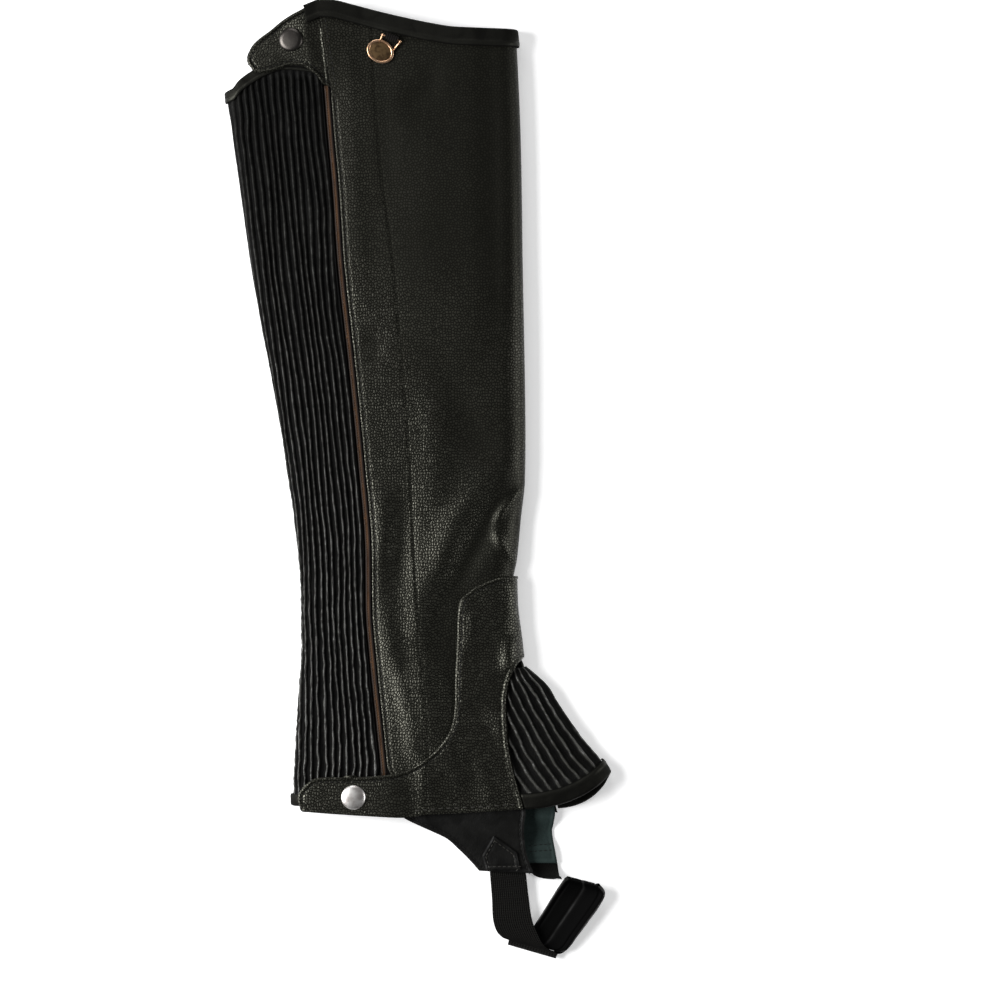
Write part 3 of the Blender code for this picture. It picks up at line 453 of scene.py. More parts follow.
ZIP_X = Curve((
    (250, -52.5), (210, -48), (180, -45.6), (155, -43.3), (115, -40.6), (63, -35), (9, -29.7),
    (-39, -26), (-66, -25.8), (-97, -23.4), (-128, -20.2), (-152, -17.8), (-172, -16),
))
TAB_SEAM_X = Curve(((252, -52.5), (228, -48.8), (205, -45.2)))
FACING_X = Curve((
    (240, -24.5), (218, -23.9), (168, -20.1), (115, -13.4), (52, -7.8), (21, -5.2), (-42, -2.2),
    (-84, 0.9), (-115, 3.4), (-150, 5), (-172, 5),
))
# The ankle gusset's seams: y, and x on the outer and on the inner side
ANKLE_SEAMS = (
    (-94, 54.4, 54.4), (-98, 51.6, 56), (-108, 47.8, 58.4), (-118, 46.8, 60.2), (-139, 48, 64),
    (-154, 50.8, 67.6), (-166, 54.4, 71), (-175, 57, 73.6),
)
ANKLE_SEAM_X = {
    Side.OUTER: Curve([(y, outer) for y, outer, _ in ANKLE_SEAMS]),
    Side.INNER: Curve([(y, inner) for y, _, inner in ANKLE_SEAMS]),
}
TOP_Y = {
    Side.OUTER: Curve((
        (-60, 247), (-54, 250.4), (-45, 250.2), (-34, 247.7), (-22, 244.5), (-9, 241.4),
        (6, 238.2), (20, 236.1), (52, 235),
    )),
    Side.INNER: Curve((
        (-104, 203.5), (-90, 204.5), (-80, 215), (-66, 233.5), (-56, 245), (-45, 248.5),
        (-34, 246.8), (-22, 243.8), (-9, 241), (6, 238), (20, 236), (52, 235),
    )),
}
HEM_Y = {
    Side.OUTER: Curve((
        (-62, -173), (-44, -174.3), (-26, -175.4), (-8, -176.2), (6, -174.6), (24, -173.8),
        (43, -172.6), (56.4, -171.8),
    )),
    Side.INNER: Curve(((-62, -171.0), (20, -171.5), (56, -172.5), (73.6, -175.0))),
}
ANKLE_HEM_Y = Curve((
    (56.4, -171.6), (72.5, -170.2), (81.6, -167), (91, -162), (97.4, -156.6), (100.2, -152.6),
))

# The main panel's creases, the deepest at the ankle, and its slack over the calf and the foot
OUTER_FOLDS = (
    Fold(1.8, 9, ((47, 9), (36, -4), (27, -14), (19, -24), (16, -34), (13, -44), (8, -56),
              (4, -66)), 0.2),
    Fold(-1.4, 7, ((52, -2), (44, -12), (36, -23), (32, -32), (27, -40), (22, -48),
               (18, -57), (15, -68)), 0.6),
    Fold(1.2, 2.4, ((60, -2), (52, -8), (46, -14), (42, -20), (40, -26)), 1, 0.1),
    Fold(1, 2.4, ((40, -24), (42, -30), (46, -36), (50, -40), (55, -44)), 0.1, 1),
    Fold(-1.2, 4.5, ((62, -18), (54, -24), (58, -34)), 1, 1),
    Fold(-1.3, 6.5, ((-7, -2), (-7, -20), (-8, -38), (-10, -52), (-13, -66)), 0.2),
    Fold(0.6, 4.5, ((-19, 2), (-18, -25), (-19, -52))),
    Fold(0.8, 9, ((10, 62), (9, 30), (9, -6), (8, -20))),
    Fold(0.8, 4.5, ((-18, -56), (-16, -76), (-13, -94), (-9, -108), (-5, -124), (-2, -142)), 0.3, 0.8),
    Fold(2.6, 12, ((1, -84), (3, -106), (6, -124), (9, -148)), 0.1, 0.6),
    Fold(-0.5, 5, ((-27, -54), (-25, -88), (-21, -120), (-17, -148)), 0, 0.8),
    Fold(1.2, 7, ((4, -52), (1, -66), (1, -80), (2, -94)), 0.2),
    Fold(0.7, 4.5, ((30, -64), (29, -78), (26, -94))),
    Fold(-0.5, 4.5, ((26, -62), (36, -68), (47, -70)), 0.3),
    Fold(1.8, 3.6, ((49, -50), (51, -62), (51, -78))),
    Fold(2, 4.2, ((50, -80), (49, -90), (47, -104))),
    Fold(-0.6, 10, ((8, 66), (24, 32), (42, 6)), 0.2, 0.2),
    Fold(-1, 8, ((41, 238), (41, 180), (42, 110), (45, 50)), 1),
    Fold(0.3, 12, ((2, 200), (4, 140), (6, 90))),
    Fold(-0.3, 6, ((-20, 232), (-18, 190), (-14, 130))),
    Fold(0.25, 5, ((-36, 226), (-33, 150), (-26, 70)), 1),
    Fold(-0.4, 6, ((10, 224), (6, 204), (-12, 190))),
    Fold(-0.35, 5, ((-22, 84), (-22, 56))),
    Fold(-1.2, 6, ((24, -116), (36, -130), (48, -150))),
    Fold(1, 6.5, ((17, -130), (20, -150), (26, -168)), 0.4),
    Fold(1, 6.5, ((30, -140), (35, -154), (42, -172)), 0, 0.6),
    Fold(0.9, 6, ((3, -150), (4, -162), (4, -176)), 0.3, 1),
    Fold(-1.2, 7, ((54, -130), (53, -150), (53, -174)), 0.2, 1),
)
INNER_FOLDS = (
    Fold(0.5, 9, ((48, -6), (10, -34))),
    Fold(0.35, 12, ((-10, 40), (4, -40))),
    Fold(0.3, 16, ((30, 60), (36, 160))),
    Fold(0.4, 10, ((-30, -90), (10, -120))),
)


@dataclass(frozen=True)
class Tube:
    """The leather tube pressed flat: how it rounds over at its folds, and its creases."""

    front_reach: float = 12.5
    back_reach: float = 8.0
    under_reach: float = 6.0
    crown: float = 1.6
    edge_lift: float = 1.5
    rise_back: float = 10.5
    facing_step: float = 0.36
    facing_groove: float = 0.05
    corner: float = 1.7
    slope_step: float = 0.03

    def lift(self, x: float, y: float) -> float:
        """Rise of the lower layer near its bound edges.

        Args:
            x: plan x.
            y: plan y.

        Returns:
            The rise.
        """
        near_top = 1 - smooth_step(TOP_Y[Side.INNER](x) - y, 12, 26)
        near_hem = (1 - smooth_step(y, -158, -144)) * (1 - smooth_step(x, -46, -34))
        near_ankle = (1 - smooth_step(y - ANKLE_HEM_Y(x), 10, 22)) * smooth_step(x, 56, 66)
        return self.edge_lift * max(near_top, near_hem, near_ankle)

    def facing(self, x: float, y: float) -> float:
        """Step in the outer layer where the zip's facing ends beneath it.

        Args:
            x: plan x.
            y: plan y.

        Returns:
            The height of the step.
        """
        if x < ZIP_X(y):
            return 0.0
        past = x - FACING_X(y)
        step = self.facing_step * (1 - smooth_step(past, -0.8, 0.8))
        return (step - self.facing_groove * hump(past, 0.8, 0.8)) * smooth_step(240 - y, 0, 6)

    def creases(self, x: float, y: float) -> float:
        """Height of the outer layer's creases and slack."""
        return sum(fold.rise(x, y) for fold in OUTER_FOLDS)

    def swell(self, x: float, y: float) -> float:
        """Rise of the panel's corner towards its tab, which lies over the gusset's bound edge."""
        return self.corner * smooth_step(y, 202, 226) * (1 - smooth_step(x - TAB_SEAM_X(y), 0, 24))

    def height(self, side: Side, x: float, y: float) -> float:
        """Height of the tube's outer face at a plan position.

        Args:
            side: the layer.
            x: plan x.
            y: plan y.

        Returns:
            The height.
        """
        back, front = BACK(y), FRONT(y)
        share = clamp((x - back) / (front - back))
        rise = mix(self.rise_back, RISE_FRONT(y), share)
        middle = 0.5 * rise
        if side is Side.INNER:
            flat = fold_round(x - back, self.under_reach) * fold_round(front - x, self.under_reach)
            low = self.lift(x, y) + sum(fold.rise(x, y) for fold in INNER_FOLDS)
            return middle * (1 - flat) + low * flat
        rounding = fold_round(x - back, self.back_reach) * fold_round(front - x, self.front_reach)
        top = rise + self.crown * 4 * share * (1 - share) + self.facing(x, y) + self.creases(x, y)
        if x > TAB_SEAM_X(y) - GAP:
            top += self.swell(x, y)
        return middle + (top - middle) * rounding

    def normal(self, side: Side, x: float, y: float) -> Vector:
        """Unit normal of the outer face at a plan position.

        Args:
            side: the layer.
            x: plan x.
            y: plan y.

        Returns:
            The normal, which points out of the tube.
        """
        step, edge = self.slope_step, self.slope_step / 30
        low = max(x - step, BACK(y) + edge)
        high = min(x + step, FRONT(y) - edge)
        if high <= low:
            low, high = x - step, x + step
        slope_x = (self.height(side, high, y) - self.height(side, low, y)) / (high - low)
        slope_y = (self.height(side, x, y + step) - self.height(side, x, y - step)) / (2 * step)
        return Vector((-slope_x, -slope_y, 1.0)).normalized() * side.value

    def point(self, side: Side, x: float, y: float, out: float = 0.0) -> Vector:
        """Point of the outer face at a plan position, moved out along the normal."""
        spot = Vector((x, y, self.height(side, x, y)))
        return spot if out == 0.0 else spot + self.normal(side, x, y) * out


TUBE = Tube()


# Meshes


@dataclass(frozen=True)
class Patch:
    """A grid of cloth: faces across and down, each point's place, and wear with painted light and
    shade.
    """

    across: int
    down: int
    place: Place
    rubbed_and_lit: Callable[[float, float], float] | None = None


def keep(mesh_bm: Mesh, name: str) -> Piece:
    """Turns a bmesh in millimetres into a smooth-shaded object in metres.

    Args:
        mesh_bm: the mesh, which is freed.
        name: the piece's name.

    Returns:
        The new object, at the origin.
    """
    bmesh.ops.scale(mesh_bm, vec=(MM, MM, MM), verts=mesh_bm.verts)
    mesh = bpy.data.meshes.new(name)
    mesh_bm.to_mesh(mesh)
    mesh_bm.free()
    mesh.shade_smooth()
    made = bpy.data.objects.new(name, mesh)
    bpy.context.scene.collection.objects.link(made)
    return made


def cloth(
    name: str, patches: Sequence[Patch], wall: float, inwards: bool = True, edge: float = 0.3
) -> Piece:
    """A wall of cloth or leather over patches that share their common edges.

    Args:
        name: the piece's name.
        patches: the grids, each with its own square of the cut's map.
        wall: thickness in millimetres.
        inwards: whether the wall goes in from the given face, or out of it.
        edge: radius that the cut edges are eased by, or 0 where another piece hides them.

    Returns:
        The new piece.
    """
    mesh_bm = bmesh.new()
    mesh_bm.loops.layers.uv.new("cut")
    # Each point's wear, which in places also holds painted highlight and shade for the finishes
    rubbed_and_lit = mesh_bm.verts.layers.float.new("rubbed_and_lit")
    for patch in patches:
        made = bmesh.ops.create_grid(
            mesh_bm, x_segments=patch.across, y_segments=patch.down, size=0.5, calc_uvs=True
        )
        for vert in made["verts"]:
            across, down = vert.co.x + 0.5, 0.5 - vert.co.y
            vert[rubbed_and_lit] = patch.rubbed_and_lit(across, down) if patch.rubbed_and_lit else 0.5
            vert.co = patch.place(across, down)
            vert.co.z = max(vert.co.z, 0.0 if inwards else wall)
    bmesh.ops.remove_doubles(mesh_bm, verts=mesh_bm.verts, dist=WELD)
    piece = keep(mesh_bm, name)
    shell = piece.modifiers.new("wall", "SOLIDIFY")
    shell.thickness = wall * MM
    shell.offset = -1.0 if inwards else 1.0
    if edge == 0.0:
        return piece
    ease = piece.modifiers.new("eased_edge", "BEVEL")
    ease.width = edge * MM
    ease.segments = 2
    ease.limit_method = "ANGLE"
    ease.angle_limit = math.radians(EASED_TURN)
    return piece


@dataclass(frozen=True)
class Stitch:
    """Distance from stitch to stitch, length of thread that shows in one, and its thickness."""

    pitch: float
    length: float
    width: float


TOPSTITCH = Stitch(2.8, 2.1, 0.5)
SEAM_STITCH = Stitch(2.8, 2.0, 0.45)
ZIP_STITCH = Stitch(3.0, 1.9, 0.5)
HEM_STITCH = Stitch(4.2, 2.6, 0.7)
DROP_STITCH = Stitch(2.6, 1.9, 0.5)


def seam(name: str, path: Sequence[Spot], stitch: Stitch) -> Piece:
    """A row of stitches.

    Args:
        name: the piece's name.
        path: points along the seam, each with the way out of the leather.
        stitch: the stitches' sizes.

    Returns:
        One piece that holds all the stitches.
    """
    mesh_bm = bmesh.new()
    size = Matrix.Diagonal((stitch.length, stitch.width, stitch.width * 0.8, 1.0))
    lying = size @ Matrix.Rotation(math.pi / 2, 4, "Y")
    left = stitch.pitch / 2
    for (first, up), (second, _) in zip(path, path[1:]):
        run = second - first
        heading = run.normalized()
        turn = Matrix((heading, up.cross(run).normalized(), up)).transposed().to_4x4()
        while left <= run.length:
            place = Matrix.Translation(first + heading * left + up * (stitch.width * 0.12))
            made = bmesh.ops.create_uvsphere(mesh_bm, u_segments=6, v_segments=4, radius=0.5)
            bmesh.ops.transform(mesh_bm, matrix=place @ turn @ lying, verts=made["verts"])
            left += stitch.pitch
        left -= run.length
    return keep(mesh_bm, name)


def lathe(name: str, profile: Line, steps: int, matrix: Matrix) -> Piece:
    """A turned solid.

    Args:
        name: the piece's name.
        profile: a radius and a height for each point, from the middle round to the middle.
        steps: faces round it.
        matrix: where it goes.

    Returns:
        The new piece.
    """
    mesh_bm = bmesh.new()
    verts = [mesh_bm.verts.new((radius, 0.0, height)) for radius, height in profile]
    edges = [mesh_bm.edges.new(pair) for pair in zip(verts, verts[1:])]
    bmesh.ops.spin(
        mesh_bm, geom=verts + edges, cent=(0, 0, 0), axis=(0, 0, 1), angle=math.tau, steps=steps,
        use_merge=True, use_duplicate=False,
    )
    bmesh.ops.remove_doubles(mesh_bm, verts=mesh_bm.verts, dist=WELD / 2)
    bmesh.ops.recalc_face_normals(mesh_bm, faces=mesh_bm.faces)
    bmesh.ops.transform(mesh_bm, matrix=matrix, verts=mesh_bm.verts)
    return keep(mesh_bm, name)


def wire(mesh_bm: Mesh, path: Sequence[Vector], radius: float, sides: int) -> None:
    """Adds a closed round wire to a mesh.

    Args:
        mesh_bm: the mesh.
        path: the wire's middle line.
        radius: half its thickness.
        sides: faces round it.
    """
    made = bmesh.ops.create_grid(mesh_bm, x_segments=sides, y_segments=len(path) - 1, size=0.5)
    heading = (path[1] - path[0]).normalized()
    side = heading.orthogonal().normalized()
    frames = []
    for index, point in enumerate(path):
        run = path[min(index + 1, len(path) - 1)] - path[max(index - 1, 0)]
        turn = heading.rotation_difference(run.normalized())
        heading, side = run.normalized(), (turn @ side).normalized()
        frames.append((point, side, heading.cross(side)))
    for vert in made["verts"]:
        index = round((0.5 - vert.co.y) * (len(path) - 1))
        angle = math.tau * (vert.co.x + 0.5)
        point, side, across = frames[index]
        vert.co = point + (side * math.cos(angle) + across * math.sin(angle)) * radius
    bmesh.ops.remove_doubles(mesh_bm, verts=made["verts"], dist=WELD / 2)
    bmesh.ops.holes_fill(mesh_bm, edges=[edge for edge in mesh_bm.edges if edge.is_boundary], sides=0)


# Finishes


def linear(hex_colour: str) -> tuple[float, float, float, float]:
    """An sRGB hex colour as linear red, green, blue and alpha.

    Args:
        hex_colour: as in #ffffff.

    Returns:
        Its four parts.
    """
    parts = [int(hex_colour[index:index + 2], 16) / 255 for index in (1, 3, 5)]
    red, green, blue = [p / 12.92 if p <= 0.04045 else ((p + 0.055) / 1.055) ** 2.4 for p in parts]
    return red, green, blue, 1.0


@dataclass(frozen=True)
class Graph:
    """A material's nodes around its shader; sizes of patterns are in millimetres."""

    tree: bpy.types.NodeTree

    def node(
        self, kind: str, inputs: dict[str | int, object] | None = None, **settings: object
    ) -> bpy.types.Node:
        """Adds a node with its settings and links.

        Args:
            kind: the node's type, without its common start.
            inputs: for each input's name or number, a value or the output to link to it.
            settings: attributes of the node.

        Returns:
            The new node.
        """
        node = self.tree.nodes.new("ShaderNode" + kind)
        for key, value in settings.items():
            setattr(node, key, value)
        for key, value in (inputs or {}).items():
            self.feed(node, key, value)
        return node

    def feed(self, node: bpy.types.Node, key: str | int, value: object) -> None:
        """Links an output to a node's input, or gives the input a value.

        Args:
            node: the node.
            key: the input's name or number.
            value: the value or output.
        """
        if isinstance(value, Socket):
            self.tree.links.new(value, node.inputs[key])
        else:
            node.inputs[key].default_value = value

    def shade(self, key: str, value: object) -> None:
        """Links an output to the shader's input, or gives the input a value."""
        self.feed(self.tree.nodes["Principled BSDF"], key, value)

    def at(self, size: float, **inputs: float) -> dict[str, object]:
        """Inputs of a pattern of a size, laid over the part's own coordinates."""
        where = self.node("TexCoord").outputs["Object"]
        return {"Vector": where, "Scale": 1 / (size * MM), **inputs}

    def noise(self, size: float, **inputs: float) -> Socket:
        """Cloudy noise."""
        return self.node("TexNoise", self.at(size, **inputs)).outputs[0]

    def rubbed_and_lit(self) -> Socket:
        """How rubbed the cloth is, with its painted highlight and shade, from its mesh."""
        return self.node("Attribute", attribute_name="rubbed_and_lit").outputs["Fac"]

    def stretch(
        self, value: Socket, start: float, end: float, low: float = 0.0, high: float = 1.0
    ) -> Socket:
        """Maps a value softly from one range to another."""
        ranges = {"Value": value, "From Min": start, "From Max": end, "To Min": low, "To Max": high}
        return self.node("MapRange", ranges, interpolation_type="SMOOTHSTEP").outputs["Result"]

    def math(self, operation: str, *values: Socket | float) -> Socket:
        """A math node over values; MULTIPLY_ADD gives the first times the second plus the third."""
        return self.node("Math", dict(enumerate(values)), operation=operation).outputs[0]

    def blend(self, share: Socket, first: Socket | str, second: Socket | str) -> Socket:
        """A colour between two, each an output or a hex colour."""
        first, second = [linear(end) if isinstance(end, str) else end for end in (first, second)]
        return self.node("Mix", {0: share, 6: first, 7: second}, data_type="RGBA").outputs[2]

    def relief(self, height: Socket, depth: float) -> None:
        """Raises the surface by a height from 0 to 1, times a depth."""
        raised = self.node("Bump", {"Height": height, "Strength": 1.0, "Distance": depth * MM})
        self.shade("Normal", raised.outputs[0])


@dataclass(frozen=True)
class Finish:
    """A plain finish; the kinds below add their own pattern to it."""

    name: str
    colour: str
    roughness: float
    specular: float = 0.4
    gloss: str = "#ffffff"

    def build(self) -> bpy.types.Material:
        """Makes the material.

        Returns:
            A Principled material with the finish's pattern.
        """
        made = bpy.data.materials.new(self.name)
        made.use_nodes = True
        graph = Graph(made.node_tree)
        graph.shade("Base Color", linear(self.colour))
        graph.shade("Roughness", self.roughness)
        graph.shade("Specular IOR Level", self.specular)
        graph.shade("Specular Tint", linear(self.gloss))
        self.dress(graph)
        return made

    def dress(self, graph: Graph) -> None:
        """Adds the finish's pattern."""


@dataclass(frozen=True)
class PebbledCowhide(Finish):
    """Chrome-tanned cowhide with a pressed pebble grain, waxed.

    It shows as black pebbles with small glints and painted shade in the creases between them, and as
    soft patches of more and less polish, which the mesh turns into painted shade in the folds' troughs
    and painted highlight on their ridges. The real pebbles are near 1 mm and are drawn a little
    coarser, so that they show.
    """

    # Paler tone for polish and wear, and for the painted highlight on fold ridges
    worn_and_lit: str = "#181814"
    # Painted shade: the dark colour of the creases between pebbles
    crease: str = "#050504"
    pebble: float = 1.5
    patch: float = 40.0
    depth: float = 0.1

    def dress(self, graph: Graph) -> None:
        """Adds pebbles that differ in height with painted shade in their creases, worn patches with the
        mesh's painted highlight and shade, and glints where the grain is open.

        Args:
            graph: the material's nodes.
        """
        rubbed_and_lit, stretch = graph.rubbed_and_lit(), graph.stretch
        scale = graph.at(self.pebble, Randomness=0.95)
        cells = graph.node("TexVoronoi", scale, voronoi_dimensions="2D", feature="DISTANCE_TO_EDGE")
        chance = graph.node("TexVoronoi", scale, voronoi_dimensions="2D")
        pebbles = graph.math(
            "MULTIPLY", stretch(cells.outputs["Distance"], 0.0, 0.34),
            stretch(chance.outputs["Color"], 0.0, 1.0, 0.72, 1.0),
        )
        patches = stretch(graph.noise(self.patch, Detail=3.0), 0.35, 0.7)
        # Random patches of polish, plus the mesh's wear with its painted highlight and shade
        polish_and_lit = graph.math("MULTIPLY_ADD", patches, 0.4, rubbed_and_lit)
        shade = graph.blend(polish_and_lit, self.colour, self.worn_and_lit)
        # Painted shade: the creases between pebbles take the crease colour
        graph.shade("Base Color", graph.blend(pebbles, self.crease, shade))
        rough = stretch(polish_and_lit, 0.0, 1.2, self.roughness + 0.06, self.roughness - 0.08)
        graph.shade("Roughness", rough)
        openness = stretch(rubbed_and_lit, 0.0, 1.0, 0.3, 1.0)
        wear = stretch(rubbed_and_lit, 0.1, 1.2, 0.66, 1.55)
        glints = stretch(pebbles, 0.0, 1.0, 0.3 * self.specular, 1.7 * self.specular)
        gloss = graph.node("Mix", {0: openness, 2: self.specular, 3: glints}).outputs[0]
        graph.shade("Specular IOR Level", graph.math("MULTIPLY", gloss, wear))
        graph.relief(graph.math("MULTIPLY", pebbles, openness), self.depth)


@dataclass(frozen=True)
class GarmentLeather(Finish):
    """Thin soft garment leather with a fine grain of 0.7 mm and creases from being gathered.

    It shows as a satin black whose raised folds are painted a little paler as a highlight, and whose
    grooves are painted darker as shade, where the mesh gives them.
    """

    # Paler tone for wear, and for the painted highlight on raised folds
    worn_and_lit: str = "#242422"
    crease: float = 4.0
    depth: float = 0.12

    def dress(self, graph: Graph) -> None:
        """Adds fine grain, creases, and the painted highlight and shade of ridges and grooves.

        Args:
            graph: the material's nodes.
        """
        grain = graph.node("TexVoronoi", graph.at(0.7)).outputs["Distance"]
        creases = graph.noise(self.crease, Detail=3.0, Distortion=0.7)
        cloudy = graph.stretch(creases, 0.3, 0.7, 0.6, 1.3)
        share = graph.math("MULTIPLY", cloudy, graph.rubbed_and_lit())
        # Painted highlight and shade: the mesh's ridges take the paler colour, its grooves the darker
        graph.shade("Base Color", graph.blend(share, self.colour, self.worn_and_lit))
        rough = graph.stretch(share, 0.0, 1.0, self.roughness + 0.16, self.roughness - 0.1)
        graph.shade("Roughness", rough)
        graph.shade("Specular IOR Level", graph.stretch(share, 0.0, 1.0, 0.04, self.specular * 1.5))
        graph.relief(graph.math("MULTIPLY_ADD", creases, 2.0, grain), self.depth)


@dataclass(frozen=True)
class LeatherSplit(Finish):
    """Brushed leather split, dyed a grey green: a short matt nap in a cloudy tone."""

    dark: str = "#1f2829"

    def dress(self, graph: Graph) -> None:
        """Adds the nap and the cloudy tone.

        Args:
            graph: the material's nodes.
        """
        nap = graph.noise(0.7)
        cloud = graph.math("MULTIPLY_ADD", graph.noise(7, Detail=4.0), 0.9, -0.2)
        share = graph.math("MULTIPLY_ADD", nap, 0.5, cloud)
        graph.shade("Base Color", graph.blend(share, self.dark, self.colour))
        graph.relief(nap, 0.15)


@dataclass(frozen=True)
class WovenElastic(Finish):
    """Woven elastic: covered rubber threads run along it, and weft crosses them.

    It shows as fine matt ribs along the band. Ribs are threads or groups of threads wide enough to
    show, and picks the weft along the band's length.
    """

    ribs: int = 18
    picks: int = 64
    dark: str = "#0b0b0a"

    def dress(self, graph: Graph) -> None:
        """Adds ribs and weft, which follow the band by the map of its cut.

        Args:
            graph: the material's nodes.
        """
        cut = graph.node("UVMap", uv_map="cut")
        parts = graph.node("SeparateXYZ", {0: cut.outputs[0]})
        waves = []
        for axis, count in enumerate((self.ribs, self.picks)):
            angle = graph.math("MULTIPLY", parts.outputs[axis], math.tau * count)
            waves.append(graph.math("COSINE", angle))
        weave = graph.math("MULTIPLY_ADD", waves[1], 0.8, waves[0])
        graph.shade("Base Color", graph.blend(graph.stretch(weave, -1.2, 1.3), self.dark, self.colour))
        graph.relief(weave, 0.16)


@dataclass(frozen=True)
class DyedNylon(Finish):
    """Dyed nylon coil and its woven tape of 0.5 mm yarn, paler in places: random wear, and on the coil
    a painted highlight along its crown.
    """

    worn_and_lit: str = "#7a5c50"

    def dress(self, graph: Graph) -> None:
        """Adds the weave, the random wear and the coil's painted highlight.

        Args:
            graph: the material's nodes.
        """
        wear = graph.stretch(graph.noise(9, Detail=4.0), 0.3, 0.7, 0.6, 1.2)
        share = graph.math("MULTIPLY", graph.rubbed_and_lit(), wear)
        # Painted highlight: the coil's crown takes the paler colour
        graph.shade("Base Color", graph.blend(share, self.colour, self.worn_and_lit))
        graph.relief(graph.noise(0.5), 0.1)


@dataclass(frozen=True)
class PlatedMetal(Finish):
    """Plated metal dulled by handling: cloudy tarnish, and scratches too fine to see one by one."""

    dull: str = "#5d5a5c"
    cloud: float = 3.0

    def dress(self, graph: Graph) -> None:
        """Adds tarnish and scratches.

        Args:
            graph: the material's nodes.
        """
        graph.shade("Metallic", 1.0)
        tarnish = graph.stretch(graph.noise(self.cloud, Detail=4.0), 0.35, 0.62)
        graph.shade("Base Color", graph.blend(tarnish, self.dull, self.colour))
        graph.relief(graph.noise(0.4, Detail=3.0), 0.03)


@dataclass(frozen=True)
class Acrylic(Finish):
    """Opal acrylic of a lit table: white, with a slight cloud, and a faint light from below."""

    glow: float = 0.35

    def dress(self, graph: Graph) -> None:
        """Adds the cloud and the light from below.

        Args:
            graph: the material's nodes.
        """
        graph.shade("Emission Color", linear("#ffffff"))
        graph.shade("Emission Strength", self.glow)
        graph.shade("Base Color", graph.blend(graph.noise(300), "#f2f2f2", self.colour))


WAX = "#fffeea"
COWHIDE = PebbledCowhide("black_pebbled_cowhide", "#0b0b08", 0.4, 0.31, WAX)
PLEATED = GarmentLeather("black_gathered_garment_leather", "#050505", 0.44, 0.36, worn_and_lit="#33332f")
BOUND = GarmentLeather(
    "black_binding_leather", "#050505", 0.52, 0.13, WAX, worn_and_lit="#0b0b0a", crease=9.0, depth=0.05
)
DROP = GarmentLeather("black_drop_leather", "#060606", 0.52, 0.16, worn_and_lit="#10100e", crease=9.0)
PAD = GarmentLeather("black_pad_leather", "#020202", 0.55, 0.3, worn_and_lit="#1c1c1b", crease=14.0, depth=0.03)
SPLIT = LeatherSplit("grey_green_leather_split", "#303c3a", 0.85, 0.1, dark="#171f1e")
ELASTIC_WEAVE = WovenElastic("black_woven_elastic", "#141310", 0.8, 0.12, dark="#020202")
RIBBON = WovenElastic("black_grosgrain_ribbon", "#15110f", 0.8, 0.12, ribs=6, picks=12)
# The coil's paler colour is its painted highlight along the crown
COIL = DyedNylon("copper_brown_nylon_coil", "#170e09", 0.5, 0.25, worn_and_lit="#50361f")
TAPE = DyedNylon("black_zip_tape", "#080706", 0.85, 0.1, worn_and_lit="#0e0c0b")
NICKEL = PlatedMetal("dull_nickel_plate", "#fbf8f5", 0.36, dull="#c9c3bf", cloud=5.0)
GUNMETAL = PlatedMetal("worn_gunmetal_plate", "#474441", 0.34, dull="#3b3836", cloud=7.0)
COPPER = PlatedMetal("aged_copper_plate", "#6d583e", 0.45, dull="#4b3b2a", cloud=2.5)
RUBBED_COPPER = PlatedMetal("rubbed_copper_rim", "#e8bf9d", 0.3, dull="#cda07b", cloud=4.0)
THREAD = Finish("black_waxed_thread", "#0c0c0a", 0.5, 0.25)
# A paler copy of the black thread: painted highlight for the glints on its stitches
LIT_THREAD = Finish("black_waxed_thread_painted_highlight", "#2d2c28", 0.5, 0.3)
TABLE = Acrylic("opal_acrylic", "#ffffff", 0.9, 0.2)


# The half chap's parts


@dataclass
class Workshop:
    """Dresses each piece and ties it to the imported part."""

    dyes: dict[str, bpy.types.Material] = field(default_factory=dict)

    def material(self, finish: Finish) -> bpy.types.Material:
        """The finish's material, made once.

        Args:
            finish: the finish.

        Returns:
            Its material.
        """
        if finish.name not in self.dyes:
            self.dyes[finish.name] = finish.build()
        return self.dyes[finish.name]

    def add(
        self, piece: Piece, finish: Finish, slot: Slot, *nodes: str, body: Body = Body.MAIN
    ) -> Piece:
        """Dresses a piece.

        Args:
            piece: the new piece.
            finish: its finish.
            slot: the record's slot that the finish stands for; not used.
            nodes: the solids that the piece replaces.
            body: the body that it rides on.

        Returns:
            The same piece.
        """
        piece.data.materials.append(self.material(finish))
        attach(piece, body.value)
        if nodes:
            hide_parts(*nodes)
        log.info("%s: %d faces, %s", piece.name, len(piece.data.polygons), finish.name)
        return piece

    def sew(self, name: str, path: Sequence[Spot], stitch: Stitch, thread: Finish) -> None:
        """Adds a row of stitches."""
        self.add(seam(name, path, stitch), thread, Slot.SMOOTH)

    def repaint(self, node: str, finish: Finish) -> None:
        """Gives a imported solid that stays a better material.

        Args:
            node: the solid's name.
            finish: its finish.
        """
        solid = bpy.data.objects[node]
        for slot in solid.material_slots:
            slot.material = self.material(finish)
        log.info("%s: kept, %s", node, finish.name)


